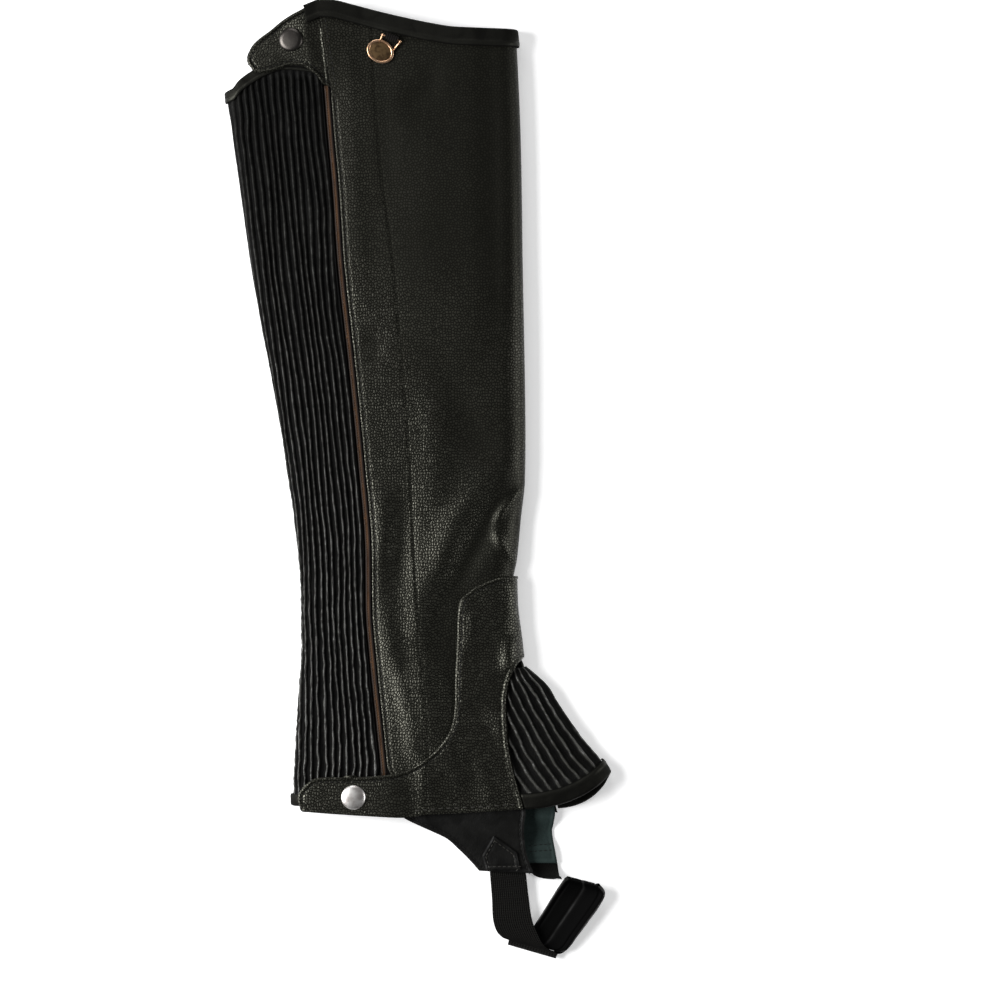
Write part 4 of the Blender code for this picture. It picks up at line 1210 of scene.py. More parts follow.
@dataclass
class MainPanel:
    """Pebbled leather cut in one, from the zip round the shin to the seam behind the calf."""

    shop: Workshop
    fold_top: float = 235.0
    hem_row: float = -172.0
    apex_y: float = -94.0
    slot: float = 2.2
    slider_slot: float = 3.7
    outer_columns: int = 86
    zip_rim: float = 4.0
    step_half: float = 2.5
    zip_stitch: float = 2.0
    stitch_top: float = 203.0
    stitch_end: float = -151.0
    column_stops: tuple[float, float, float] = (0.1, 0.22, 0.38)
    inner_columns: int = 34
    rows_above: int = 200
    rows_below: int = 50

    def inner_seam_x(self, y: float) -> float:
        """Seam between the back gusset and the main panel, under the back fold."""
        return BACK(y) + mix(17.0, 9.0, smooth_step(y, -170, 205))

    def slot_half(self, y: float) -> float:
        """Half the width of the slot that the zip shows in."""
        return mix(self.slider_slot, self.slot, smooth_step(y, -156, -150))

    def left(self, side: Side, y: float) -> float:
        """The panel's edge away from the shin.

        Args:
            side: the layer.
            y: plan y.

        Returns:
            The edge's x.
        """
        if side is Side.INNER:
            return self.inner_seam_x(min(y, 200.0)) + GAP / 2
        return mix(ZIP_X(y) + self.slot_half(y), TAB_SEAM_X(y), smooth_step(y, 196, 206))

    def right(self, side: Side, y: float) -> float:
        """The shin fold, or below the apex the seam with the ankle gusset."""
        return FRONT(y) if y >= self.apex_y else ANKLE_SEAM_X[side](y)

    def across(self, side: Side, share: float, y: float, height: float) -> float:
        """x of a column, closer together at the facing's edge and round the shin.

        Args:
            side: the layer.
            share: 0 at the free edge, 1 at the shin.
            y: where the point lies.
            height: the height that its row has at the shin.

        Returns:
            The plan x.
        """
        left, right = self.left(side, y), self.right(side, height)
        if side is Side.INNER:
            return mix(left, right, slowing(share))
        near, far = FACING_X(y) - self.step_half, FACING_X(y) + self.step_half
        at_rim, at_near, at_far = self.column_stops
        if share < at_far:
            rim = left + self.zip_rim
            return ramp(share, (0.0, left), (at_rim, rim), (at_near, near), (at_far, far))
        return right if share >= 1 else mix(far, right, slowing((share - at_far) / (1 - at_far)))

    def place(self, side: Side, share: float, height: float) -> Vector:
        """Point of the panel, on the row that has a height at the shin.

        Args:
            side: the layer.
            share: 0 at the free edge, 1 at the shin.
            height: the row's height at the shin.

        Returns:
            The point.
        """
        end = HEM_Y[side](PAST_SHIN)
        y = height
        if share < 1:
            down = (self.fold_top - height) / (self.fold_top - end)
            top_x = self.across(side, share, ABOVE_TOP, self.fold_top)
            hem_x = self.across(side, share, self.hem_row, end)
            y += (1 - down) ** 2 * (TOP_Y[side](top_x) - self.fold_top)
            y += down * (HEM_Y[side](hem_x) - end)
        x = self.across(side, share, y, height)
        if side is Side.INNER or x > self.left(side, y) + self.zip_rim:
            return TUBE.point(side, x, y)
        distance = x - self.left(side, y)
        groove = 0.22 * hump(distance, self.zip_stitch, 0.7)
        groove += 0.3 * (1 - fold_round(distance + 0.15, 1.1))
        return TUBE.point(side, x, y, -groove * (1 - smooth_step(y, 196, 204)))

    def patch(self, side: Side, above: bool) -> Patch:
        """A quarter of the panel: one layer, above or below the ankle gusset's apex.

        Args:
            side: the layer.
            above: whether it lies above the apex.

        Returns:
            The quarter's grid.
        """
        end = HEM_Y[side](PAST_SHIN)
        top, bottom = (self.fold_top, self.apex_y) if above else (self.apex_y, end)

        def place(across: float, down: float) -> Vector:
            """Point of the quarter; the outer layer runs to the shin and the inner one back."""
            share = across if side is Side.OUTER else 1 - across
            return self.place(side, share, mix(top, bottom, down))

        def rubbed_and_lit(across: float, down: float) -> float:
            """How open and polished the grain is: most over the zip's facing and round the ankle, less
            in the creases' troughs as painted shade and more on their ridges as painted highlight.

            Args:
                across: share of the width.
                down: share of the length.

            Returns:
                From 0.05 to 1.2.
            """
            if side is Side.INNER:
                return 0.4
            y = mix(top, bottom, down)
            x = self.across(side, across, y, y)
            facing = 1 - smooth_step(x - FACING_X(y), -8, 12)
            ankle = hump(x, 0, 30) * (1 - smooth_step(y, 0, 110))
            slack = smooth_step(y, -80, -30) * (1 - smooth_step(y, 90, 130))
            worn_and_lit = 0.3 + 0.3 * facing + 0.28 * slack + 0.35 * ankle
            # Painted shade in the creases' troughs and painted highlight on their ridges
            worn_and_lit += 0.2 * uneven(x * 0.03, y * 0.03, 6.0) + 0.3 * TUBE.creases(x, y)
            return clamp(worn_and_lit, 0.05, 1.2)

        columns = self.outer_columns if side is Side.OUTER else self.inner_columns
        return Patch(columns, self.rows_above if above else self.rows_below, place, rubbed_and_lit)

    def build(self) -> None:
        """Makes the panel and the stitches that hold the zip."""
        patches = [self.patch(side, above) for side in Side for above in (True, False)]
        panel = cloth("main_panel_leather", patches, LEATHER)
        self.shop.add(panel, COWHIDE, Slot.PEBBLED, "main_panel")
        line = []
        for step in range(181):
            y = mix(self.stitch_top, self.stitch_end, step / 180)
            x = self.left(Side.OUTER, y) + self.zip_stitch
            line.append((TUBE.point(Side.OUTER, x, y), TUBE.normal(Side.OUTER, x, y)))
        self.shop.sew("zip_topstitch", line, ZIP_STITCH, LIT_THREAD)


@dataclass
class TopTab:
    """The tab sewn to the main panel above the zip and snapped over the gusset's corner."""

    shop: Workshop
    panel: MainPanel
    rise: float = 2.8
    droop: float = 1.7
    lower: Route = route(
        (-45.6, 206), (-49.4, 207.4), (-52.6, 211.6), (-59, 216.2), (-66.4, 217.1),
        (-73.2, 215), (-80.1, 213.2), (-85.2, 213.9), (-88.4, 217.4), (-89.4, 219.4))
    upper: Route = route(
        (-52.5, 250.2), (-56.2, 249.2), (-60.5, 246.6), (-65.4, 244.1), (-71.1, 240.5),
        (-77.4, 235.4), (-82.7, 231.5), (-86.4, 227.9), (-88.6, 223.9), (-89.4, 221.6))

    def height(self, x: float, y: float) -> float:
        """Height of the tab's face: flush at its seam, over the gusset's bound edge beyond.

        Args:
            x: plan x.
            y: plan y.

        Returns:
            The height.
        """
        from_seam = TAB_SEAM_X(y) - x
        droop = self.droop * smooth_step(y, 216, 236) * smooth_step(from_seam, 8, 26)
        start = TUBE.swell(TAB_SEAM_X(y), y)
        rise = mix(start, self.rise, smooth_step(from_seam, 0.3, 9.0))
        return TUBE.height(Side.OUTER, min(x, TAB_SEAM_X(y) - 0.5), y) + rise - droop

    def spot(self, x: float, y: float) -> Spot:
        """Point of the face with its normal."""
        return Vector((x, y, self.height(x, y))), face_normal(self.height, x, y, 0.2)

    def build(self) -> None:
        """Makes the tab, its stitches and the seam that holds it."""
        lower, upper = self.lower.steps(40), self.upper.steps(40)
        rim = [*lower[2:], *reversed(upper[6:])]

        def place(across: float, down: float) -> Vector:
            """Point of the tab, from its tip to its seam and from its upper edge to its lower one."""
            low, high = self.lower(1 - across), self.upper(1 - across)
            x, y = high.lerp(low, crowd(down))
            return Vector((x, y, self.height(x, y) + turned_edge(line_distance(x, y, rim))))

        def rubbed_and_lit(across: float, down: float) -> float:
            """How open the grain is."""
            return 0.75 + 0.25 * uneven(across * 4, down * 3, 9.0)

        tab = cloth("top_tab_leather", [Patch(96, 84, place, rubbed_and_lit)], TRIM_LEATHER, edge=0.4)
        self.shop.add(tab, COWHIDE, Slot.PEBBLED, "top_tab")
        line = [self.spot(point.x, point.y) for point in inset(rim[::-1], STITCHED_IN)]
        self.shop.sew("top_tab_topstitch", line, TOPSTITCH, THREAD)
        side = [self.spot(TAB_SEAM_X(y) + 2.6, y) for y in range(206, 242)]
        lifted = [(point + Vector((0, 0, 0.1)), up) for point, up in side]
        self.shop.sew("top_tab_seam_stitch", lifted, SEAM_STITCH, THREAD)


@dataclass(frozen=True)
class BindingFold:
    """Section of a strip folded over an edge: its height, and the wall that it wraps.

    Its outer side swells a little. It turns over the edge between two shares of its width.
    """

    height: float
    wall: float
    swell: float = 0.3
    turn_start: float = 0.2
    turn_end: float = 0.38

    def at(self, share: float, wave: float, shown: float = 1.0) -> tuple[float, float]:
        """How far past the edge, and how far out of the face, the strip's inner surface lies.

        Args:
            share: 0 at the strip's inner end, 1 at its outer end.
            wave: unevenness there, from -1 to 1.
            shown: share of the height that the outer side has there.

        Returns:
            The distance past the edge in plan, and out of the face.
        """
        inside, outside = -(self.wall + BINDING_GAP), BINDING_GAP
        if share < self.turn_start:
            return mix(-self.height, 0.1, share / self.turn_start), inside
        if share < self.turn_end:
            turn = (share - self.turn_start) / (self.turn_end - self.turn_start) * math.pi
            reach = (outside - inside) / 2
            return 0.1 + (GAP + 0.2) * math.sin(turn), (outside + inside) / 2 - reach * math.cos(turn)
        down = self.down(share)
        plump = self.swell * (0.5 * math.sin(math.pi * down) + hump(down, 0.8, 0.16)) * (1 + 0.4 * wave)
        return mix(0.1, -self.height * shown, down), outside - 0.05 + plump

    def down(self, share: float) -> float:
        """Share of the way down the strip's outer side."""
        return (share - self.turn_end) / (1 - self.turn_end)

    def rubbed_and_lit(self, _across: float, share: float) -> float:
        """How rubbed the strip is: a painted highlight along its rolled lower edge, painted shade where
        it meets the panel.
        """
        down = self.down(share)
        return 0.4 + 0.7 * hump(down, 0.78, 0.12) - 0.4 * smooth_step(down, 0.88, 0.98)


@dataclass
class TopBinding:
    """Strip folded over the top edge, from the tab's corner round the shin to the inner seam."""

    shop: Workshop
    panel: MainPanel
    tab: TopTab
    fold: BindingFold = BindingFold(8.0, LEATHER, 0.3)
    tab_end: float = -59.5
    tab_end_y: float = 247.3
    tab_share: float = 0.05
    outer_share: float = 0.47

    def lean(self, side: Side, x: float) -> float:
        """Sideways run per mm up of a line across the strip.

        Args:
            side: the layer.
            x: plan x of the line's foot.

        Returns:
            The sideways run.
        """
        top = self.panel.fold_top
        square = TOP_Y[side](x - 0.5) - TOP_Y[side](x + 0.5)
        shin = (FRONT(top) - FRONT(top - self.fold.height)) / self.fold.height
        lean = mix(square, shin, smooth_step(x, FRONT(top) - 12, FRONT(top) - 1))
        if side is Side.OUTER:
            seam_x = TAB_SEAM_X(ABOVE_TOP)
            along_seam = (seam_x - TAB_SEAM_X(ABOVE_TOP - 10)) / 10
            lean = mix(along_seam, lean, smooth_step(x, seam_x, seam_x + 6))
        return lean

    def point(self, side: Side, x: float, past: float, out: float) -> Vector:
        """Point near the top edge at x: past it in plan, and out from the face.

        Args:
            side: the layer.
            x: plan x at the edge.
            past: distance past the edge in plan.
            out: distance out of the face.

        Returns:
            The point.
        """
        direction = Vector((self.lean(side, x), 1.0)).normalized()
        on_tab = side is Side.OUTER and x < TAB_SEAM_X(ABOVE_TOP)
        edge = self.tab_edge(x) if on_tab else TOP_Y[side](x)
        spot = Vector((x, edge)) + direction * past
        if on_tab:
            return Vector((spot.x, spot.y, self.tab.height(spot.x, spot.y) + out))
        return TUBE.point(side, spot.x, spot.y, out)

    def tab_edge(self, x: float) -> float:
        """The tab's upper edge."""
        seam_x = TAB_SEAM_X(ABOVE_TOP)
        return mix(TOP_Y[Side.OUTER](seam_x), self.tab_end_y, (seam_x - x) / (seam_x - self.tab_end))

    def build(self) -> None:
        """Makes the strip."""
        front = FRONT(self.panel.fold_top)
        left = {side: self.panel.left(side, ABOVE_TOP) for side in Side}

        def place(across: float, down: float) -> Vector:
            """Point of the strip, from inside over the edge to outside.

            Args:
                across: share of the length, from the tab round to the inner seam.
                down: share of the width, from inside to outside.

            Returns:
                The point.
            """
            if across < self.tab_share:
                side, x = Side.OUTER, mix(self.tab_end, left[Side.OUTER], across / self.tab_share)
            elif across <= self.outer_share:
                reach = (across - self.tab_share) / (self.outer_share - self.tab_share)
                side, x = Side.OUTER, mix(left[Side.OUTER], front, slowing(reach))
            else:
                reach = (1 - across) / (1 - self.outer_share)
                side, x = Side.INNER, mix(left[Side.INNER], front, slowing(reach))
            wave = uneven(x * 0.12, 3.0 * side.value) if side is Side.OUTER else 0.0
            return self.point(side, x, *self.fold.at(down, wave))

        patch = Patch(200, 44, place, self.fold.rubbed_and_lit)
        strip = cloth("top_binding_strip", [patch], BINDING_WALL, inwards=False, edge=0.4)
        self.shop.add(strip, BOUND, Slot.SMOOTH, "top_binding")


@dataclass
class BackGusset:
    """Leather gathered into pleats on elastic, from the zip round the back to the inner seam."""

    shop: Workshop
    panel: MainPanel
    pleats: int = 18
    columns: int = 165
    rows: int = 262
    crest: float = 1.5
    fold: BindingFold = BindingFold(4.6, GUSSET_WALL, 0.2)
    table_top: float = 222.0
    table_step: float = 4.0
    table_rows: int = 100
    table_columns: int = 216
    section_steps: int = 40
    table: list[list[Vector]] = field(default_factory=list)
    top: Curve = curve(
        (0, 202.5), (0.16, 202.5), (0.26, 204), (0.33, 208.5), (0.42, 212.5), (0.52, 215.6),
        (0.7, 216.4), (1, 214.5))
    hem: Curve = curve(
        (0, -168), (0.16, -168.6), (0.26, -169.6), (0.33, -169.8), (0.42, -169.6),
        (0.55, -169.2), (1, -168))

    def section(self, y: float) -> list[Vector]:
        """Section at a height, at even shares of its length from the inner seam to the zip.

        Args:
            y: the height.

        Returns:
            The section's points.
        """
        back = BACK(y)
        start = self.panel.inner_seam_x(y) - GAP / 2
        end = ZIP_X(y) - self.panel.slot_half(y)
        shares = [slowing(step / self.section_steps) for step in range(self.section_steps + 1)]
        points = [TUBE.point(Side.INNER, mix(start, back, share), y) for share in shares]
        points += [TUBE.point(Side.OUTER, mix(end, back, share), y) for share in shares[-2::-1]]
        lengths, evened = run_lengths(points), []
        for step in range(self.table_columns + 1):
            index, share = at_length(lengths, lengths[-1] * step / self.table_columns)
            evened.append(points[index].lerp(points[index + 1], share))
        return evened

    def point(self, share: float, down: float, past: float = 0.0, out: float = 0.0) -> Vector:
        """Point of the gusset.

        Args:
            share: share of its girth, from the inner seam to the zip.
            down: share of its length, from its top edge to its hem.
            past: distance up from there.
            out: distance out of its face.

        Returns:
            The point.
        """
        y = mix(self.top(share), self.hem(share), down) + past
        row = clamp((self.table_top - y) / self.table_step, 0.0, self.table_rows - 1.001)
        column = clamp(share) * self.table_columns
        low = min(int(column), self.table_columns - 1)
        above, below = self.table[int(row)], self.table[int(row) + 1]
        left = above[low].lerp(below[low], row - int(row))
        right = above[low + 1].lerp(below[low + 1], row - int(row))
        step = (right - left).normalized()
        return left.lerp(right, column - low) + Vector((-step.z, 0.0, step.x)) * out

    def ridge(self, share: float, down: float) -> tuple[float, int]:
        """How far up a pleat's ridge a place is, from 0 to 1, and which pleat it is.

        Args:
            share: share of the girth.
            down: share of the length.

        Returns:
            The height up the ridge, and the pleat's number.
        """
        y = down * PLEAT_RUN
        wander = 0.32 * uneven(y * 0.02, share * 7, 2.0) + 0.12 * uneven(y * 0.09, share * 18, 5.0)
        wander += smooth_step(down, 0.3, 1.0) * 0.17 * uneven(y * 0.17, share * 22, 8.0)
        phase = self.pleats * share + wander
        return (0.5 - 0.5 * math.cos(math.tau * phase)) ** mix(1.0, 3.2, down), math.floor(phase)

    def pleat(self, share: float, down: float) -> float:
        """Height of the pleats: narrow puckered ridges between wider grooves.

        Args:
            share: share of the girth.
            down: share of the length.

        Returns:
            The height.
        """
        y = down * PLEAT_RUN
        ridge, number = self.ridge(share, down)
        pucker = uneven(y * mix(0.26, 0.36, down), number * 3.7, 1.0)
        tall = 1.0 + 0.25 * uneven(y * 0.05, number * 2.1, 4.0) + mix(0.16, 0.42, down) * pucker
        fade = mix(0.35, 1.0, smooth_step(share, 0.22, 0.36))
        fade *= 1 - 0.8 * smooth_step(share, 0.985, 1.0)
        fade *= smooth_step(down, 0.004, 0.016) * (1 - smooth_step(down, 0.97, 0.988))
        return min(self.crest * ridge * tall - 0.62, 1.5) * fade

    def rubbed_and_lit(self, share: float, down: float) -> float:
        """How rubbed the leather is: a painted highlight along the ridges' puckers, painted shade in
        the grooves, and darker towards the top.

        Args:
            share: share of the girth.
            down: share of the length.

        Returns:
            From 0 to about 2.
        """
        ridge, number = self.ridge(share, down)
        pucker = uneven(down * PLEAT_RUN * mix(0.3, 0.55, down), number * 5.1, 3.0)
        along = 1.0 + mix(0.25, 0.7, down) * pucker + 0.3 * uneven(down * 11, number * 1.3, 7.0)
        # Painted highlight on the ridges, painted shade in the grooves, darker towards the top
        return mix(0.14, 1.25, down ** 1.25) * ridge ** mix(1.2, 2.8, down) * along

    def bind(self, name: str, node: str, edge: Edge, last: float) -> None:
        """Makes the strip folded over one edge.

        Args:
            name: the piece's name.
            node: the solid that it replaces.
            edge: which edge it wraps.
            last: the share of the girth where it ends; it starts at the inner seam.
        """

        def place(across: float, down: float) -> Vector:
            """Point of the strip."""
            share = mix(0.03, last, across)
            turned = down if edge is Edge.TOP else 1 - down
            shown = 1 - 0.85 * smooth_step(share, 0.46, 0.7) if edge is Edge.TOP else 1.0
            past, out = self.fold.at(turned, uneven(share * 22, 7.0 * edge.value), shown)
            return self.point(share, 0.0 if edge is Edge.TOP else 1.0, past * edge.value, out)

        patch = Patch(90, 34, place, lambda _, down: self.fold.rubbed_and_lit(0.0, down))
        strip = cloth(name, [patch], BINDING_WALL, inwards=False, edge=0.35)
        self.shop.add(strip, BOUND, Slot.SMOOTH, node)

    def spread(self, across: float) -> float:
        """Share of the girth for a column, with most columns where they show."""
        return ramp(across, (0.0, 0.0), (0.08, 0.24), (1.0, 1.0))

    def build(self) -> None:
        """Makes the pleated leather and its two bound edges."""
        heights = [self.table_top - self.table_step * row for row in range(self.table_rows)]
        self.table = [self.section(y) for y in heights]

        def place(across: float, down: float) -> Vector:
            """Point of the gusset, with most columns where it shows."""
            share = self.spread(across)
            return self.point(share, down, 0.0, self.pleat(share, down))

        def rubbed_and_lit(across: float, down: float) -> float:
            """How rubbed a point is, with its painted highlight and shade."""
            return self.rubbed_and_lit(self.spread(across), down)

        patch = Patch(self.columns, self.rows, place, rubbed_and_lit)
        pleated = cloth("back_gusset_pleats", [patch], GUSSET_WALL, edge=0)
        self.shop.add(pleated, PLEATED, Slot.GATHERED, "back_gusset")
        self.bind("gusset_top_strip", "gusset_top_binding", Edge.TOP, 0.965)
        self.bind("gusset_hem_strip", "gusset_hem_binding", Edge.HEM, 0.92)


@dataclass
class Zip:
    """Coil, tape and slider, beside the calf; the slider is hidden under the foot panel's tab."""

    shop: Workshop
    top: float = 206.5
    end: float = -154.6
    turn: float = 1.3
    half: float = 1.4
    tape_top: float = 206.0
    tape_end: float = -163.0
    tape_half: float = 6.5

    def build(self) -> None:
        """Makes the coil and the tape, and finishes the slider."""

        def coil(across: float, down: float) -> Vector:
            """Point of the coil: a rounded ridge of close turns."""
            y = mix(self.top, self.end, down)
            angle = math.pi * (across - 0.5)
            turns = 0.13 * math.cos(math.tau * (self.top - y) / self.turn)
            out = -0.5 + (1.25 + turns) * math.cos(angle)
            return TUBE.point(Side.OUTER, ZIP_X(y) + self.half * math.sin(angle), y, out)

        def tape(across: float, down: float) -> Vector:
            """Point of the tape behind the slot."""
            y = mix(self.tape_top, self.tape_end, down)
            x = ZIP_X(y) + self.tape_half * (2 * across - 1)
            return TUBE.point(Side.OUTER, x, y, -(LEATHER + 1.5 * GAP))

        def rubbed_and_lit(across: float, _down: float) -> float:
            """Painted highlight along the coil's crown, which leaves its sides darker."""
            return 0.9 * hump(across, 0.5, 0.13)

        made = cloth("zip_coil_turns", [Patch(10, 1092, coil, rubbed_and_lit)], 0.9, edge=0)
        self.shop.add(made, COIL, Slot.ZIP, "zip_coil")
        made = cloth("zip_tape_weave", [Patch(4, 90, tape)], 0.8, edge=0)
        self.shop.add(made, TAPE, Slot.ZIP, "zip_tape")
        self.shop.repaint("zip_slider", NICKEL)


@dataclass
class FootPanel:
    """Second layer of cowhide over the outer ankle, with the tab that snaps across the zip's end."""

    shop: Workshop
    panel: MainPanel
    tab_rise: float = 1.5
    fold_rise: float = 0.6
    bridge: float = 1.6
    back_reach: float = 6.0
    seam_back: float = 0.7
    top_bow: float = 1.6
    overhang: float = 0.9
    left: Route = route(
        (28.1, -57.8), (22.8, -62.5), (21.3, -70.4), (20.9, -82), (20.4, -93), (19.9, -101),
        (19.7, -108), (19.5, -119.2), (17.6, -129.7), (12.9, -138.1), (6.6, -144.4), (-1.6, -150.2),
        (-9.7, -153.6), (-17.6, -154.9), (-32.3, -155.9), (-49.6, -156), (-55.1, -157.2),
        (-59.1, -160.7), (-62, -165.9), (-61.4, -170.6), (-58.5, -174.3))
    right_y: tuple[float, ...] = (
        -50.2, -57, -68, -79, -88, -94, -98.67, -106.45, -116, -125, -134, -141.5,
        -148, -151.5, -154.5, -158.5, -161.5, -164.5, -167.5, -170.2, -172.6)

    def out(self, x: float, y: float) -> float:
        """Distance of its face from the tube: more where its tab crosses the zip.

        Args:
            x: plan x.
            y: plan y.

        Returns:
            The distance.
        """
        over = 1 - smooth_step(x, ZIP_X(y) + 2.0, ZIP_X(y) + 18.0)
        at_fold = smooth_step(x, FRONT(y) - 12.0, FRONT(y) - 3.0)
        out = GAP + TRIM_LEATHER + self.tab_rise * over + self.fold_rise * at_fold
        if x < ZIP_X(y):
            out += TUBE.facing_step * smooth_step(x, ZIP_X(y) - 20.0, ZIP_X(y))
        return out

    def point(self, x: float, y: float, out: float = 0.0) -> Vector:
        """Point of its face, moved out; it spans the zip's edge, where the tube has a step.

        Args:
            x: plan x.
            y: plan y.
            out: distance out of the face.

        Returns:
            The point.
        """
        edge = ZIP_X(y)
        if abs(x - edge) < self.bridge - 0.1:
            start, end = edge - self.bridge, edge + self.bridge
            return self.point(start, y, out).lerp(self.point(end, y, out), (x - start) / (end - start))
        reach = max(x, BACK(y) + self.back_reach)
        lifted = TUBE.point(Side.OUTER, reach, y, self.out(x, y) + out)
        return Vector((x + lifted.x - reach, lifted.y, lifted.z))

    def spot(self, x: float, y: float) -> Spot:
        """Point of its face with its normal."""
        reach = max(x, BACK(y) + self.back_reach)
        return self.point(x, y), TUBE.normal(Side.OUTER, reach, y)

    def plan(self, share: float, down: float) -> Vector:
        """Plan position a share of the way from its left edge to the shin, and down its rows.

        Args:
            share: 0 at its left edge, 1 at the shin.
            down: 0 at its first row, 1 at its hem.

        Returns:
            The plan position.
        """
        place = down * (len(self.right_y) - 1)
        row = min(int(place), len(self.right_y) - 2)
        right_y = mix(self.right_y[row], self.right_y[row + 1], place - row)
        back_off = self.seam_back * smooth_step(-right_y, 93.0, 94.0)
        right = Vector((self.panel.right(Side.OUTER, right_y) - back_off, right_y))
        spot = self.left(down).lerp(right, share)
        spot.y += self.top_bow * 4 * share * (1 - share) * max(1 - place, 0.0)
        hem = HEM_Y[Side.OUTER](spot.x) - self.overhang
        spot.y = mix(spot.y, hem, max(place - len(self.right_y) + 2, 0.0))
        return spot

    def build(self) -> None:
        """Makes the panel, its stitches and those of the hem."""
        top = [self.plan(1 - step / 12, 0.0) for step in range(12)]
        rim = [*top, *self.left.steps(120)]
        hem = [self.plan(step / 30, 1.0) for step in range(31)]
        ankle = [self.plan(1.0, mix(0.25, 1.0, step / 40)) for step in range(41)]

        def place(across: float, down: float) -> Vector:
            """Point of the panel, with most columns at its turned edge.

            Args:
                across: share of the width.
                down: share of the length.

            Returns:
                The point.
            """
            inner = slowing(max(across - 0.16, 0.0) / 0.84)
            row = ramp(down, (0.0, 0.0), (0.14, 0.022), (1.0, 1.0))
            spot = self.plan(0.07 * min(across / 0.16, 1.0) + 0.93 * inner, row)
            rise = turned_edge(line_distance(spot.x, spot.y, rim), 0.25)
            rise += 0.25 * turned_edge(line_distance(spot.x, spot.y, hem))
            if spot.y < self.panel.apex_y:
                rise += turned_edge(line_distance(spot.x, spot.y, ankle), 0.22)
            past_facing = smooth_step(spot.x - FACING_X(spot.y), -1.3, 1.3)
            rise -= 0.35 * past_facing * smooth_step(-spot.y, 141, 149)
            return self.point(spot.x, spot.y, rise)

        def rubbed_and_lit(across: float, down: float) -> float:
            """How open and polished the grain is: most on its tab and where it turns to the shin, with
            painted shade in the creases' troughs and along its turned edge, and painted highlight on
            the creases' ridges.

            Args:
                across: share of the width.
                down: share of the length.

            Returns:
                From 0 to about 2.
            """
            spot = self.plan(across, down)
            shin = hump(spot.x, 45, 7) * smooth_step(spot.y, -108, -92)
            tab = 1 - smooth_step(spot.x, -12, 24)
            worn_and_lit = 1.0 + 0.15 * max(shin, tab) + 0.2 * uneven(spot.x * 0.05, spot.y * 0.05, 2.0)
            # Painted shade in the creases' troughs and painted highlight on their ridges
            worn_and_lit += 0.25 * TUBE.creases(spot.x, spot.y)
            # Painted shade along the turned edge: half as rubbed at the rim
            return worn_and_lit * mix(0.5, 1.0, smooth_step(line_distance(spot.x, spot.y, rim), 0.8, 2.2))

        piece = cloth("foot_panel_leather", [Patch(120, 170, place, rubbed_and_lit)], TRIM_LEATHER, edge=0.4)
        self.shop.add(piece, COWHIDE, Slot.PEBBLED, "foot_panel")
        inner = [self.spot(point.x, point.y) for point in inset(rim, STITCHED_IN) if point.y > -172]
        self.shop.sew("foot_panel_topstitch", inner, TOPSTITCH, THREAD)
        low = [self.spot(x, HEM_Y[Side.OUTER](x) + 2.0) for x in range(-2, 54, 2)]
        self.shop.sew("hem_stitch", low, HEM_STITCH, LIT_THREAD)


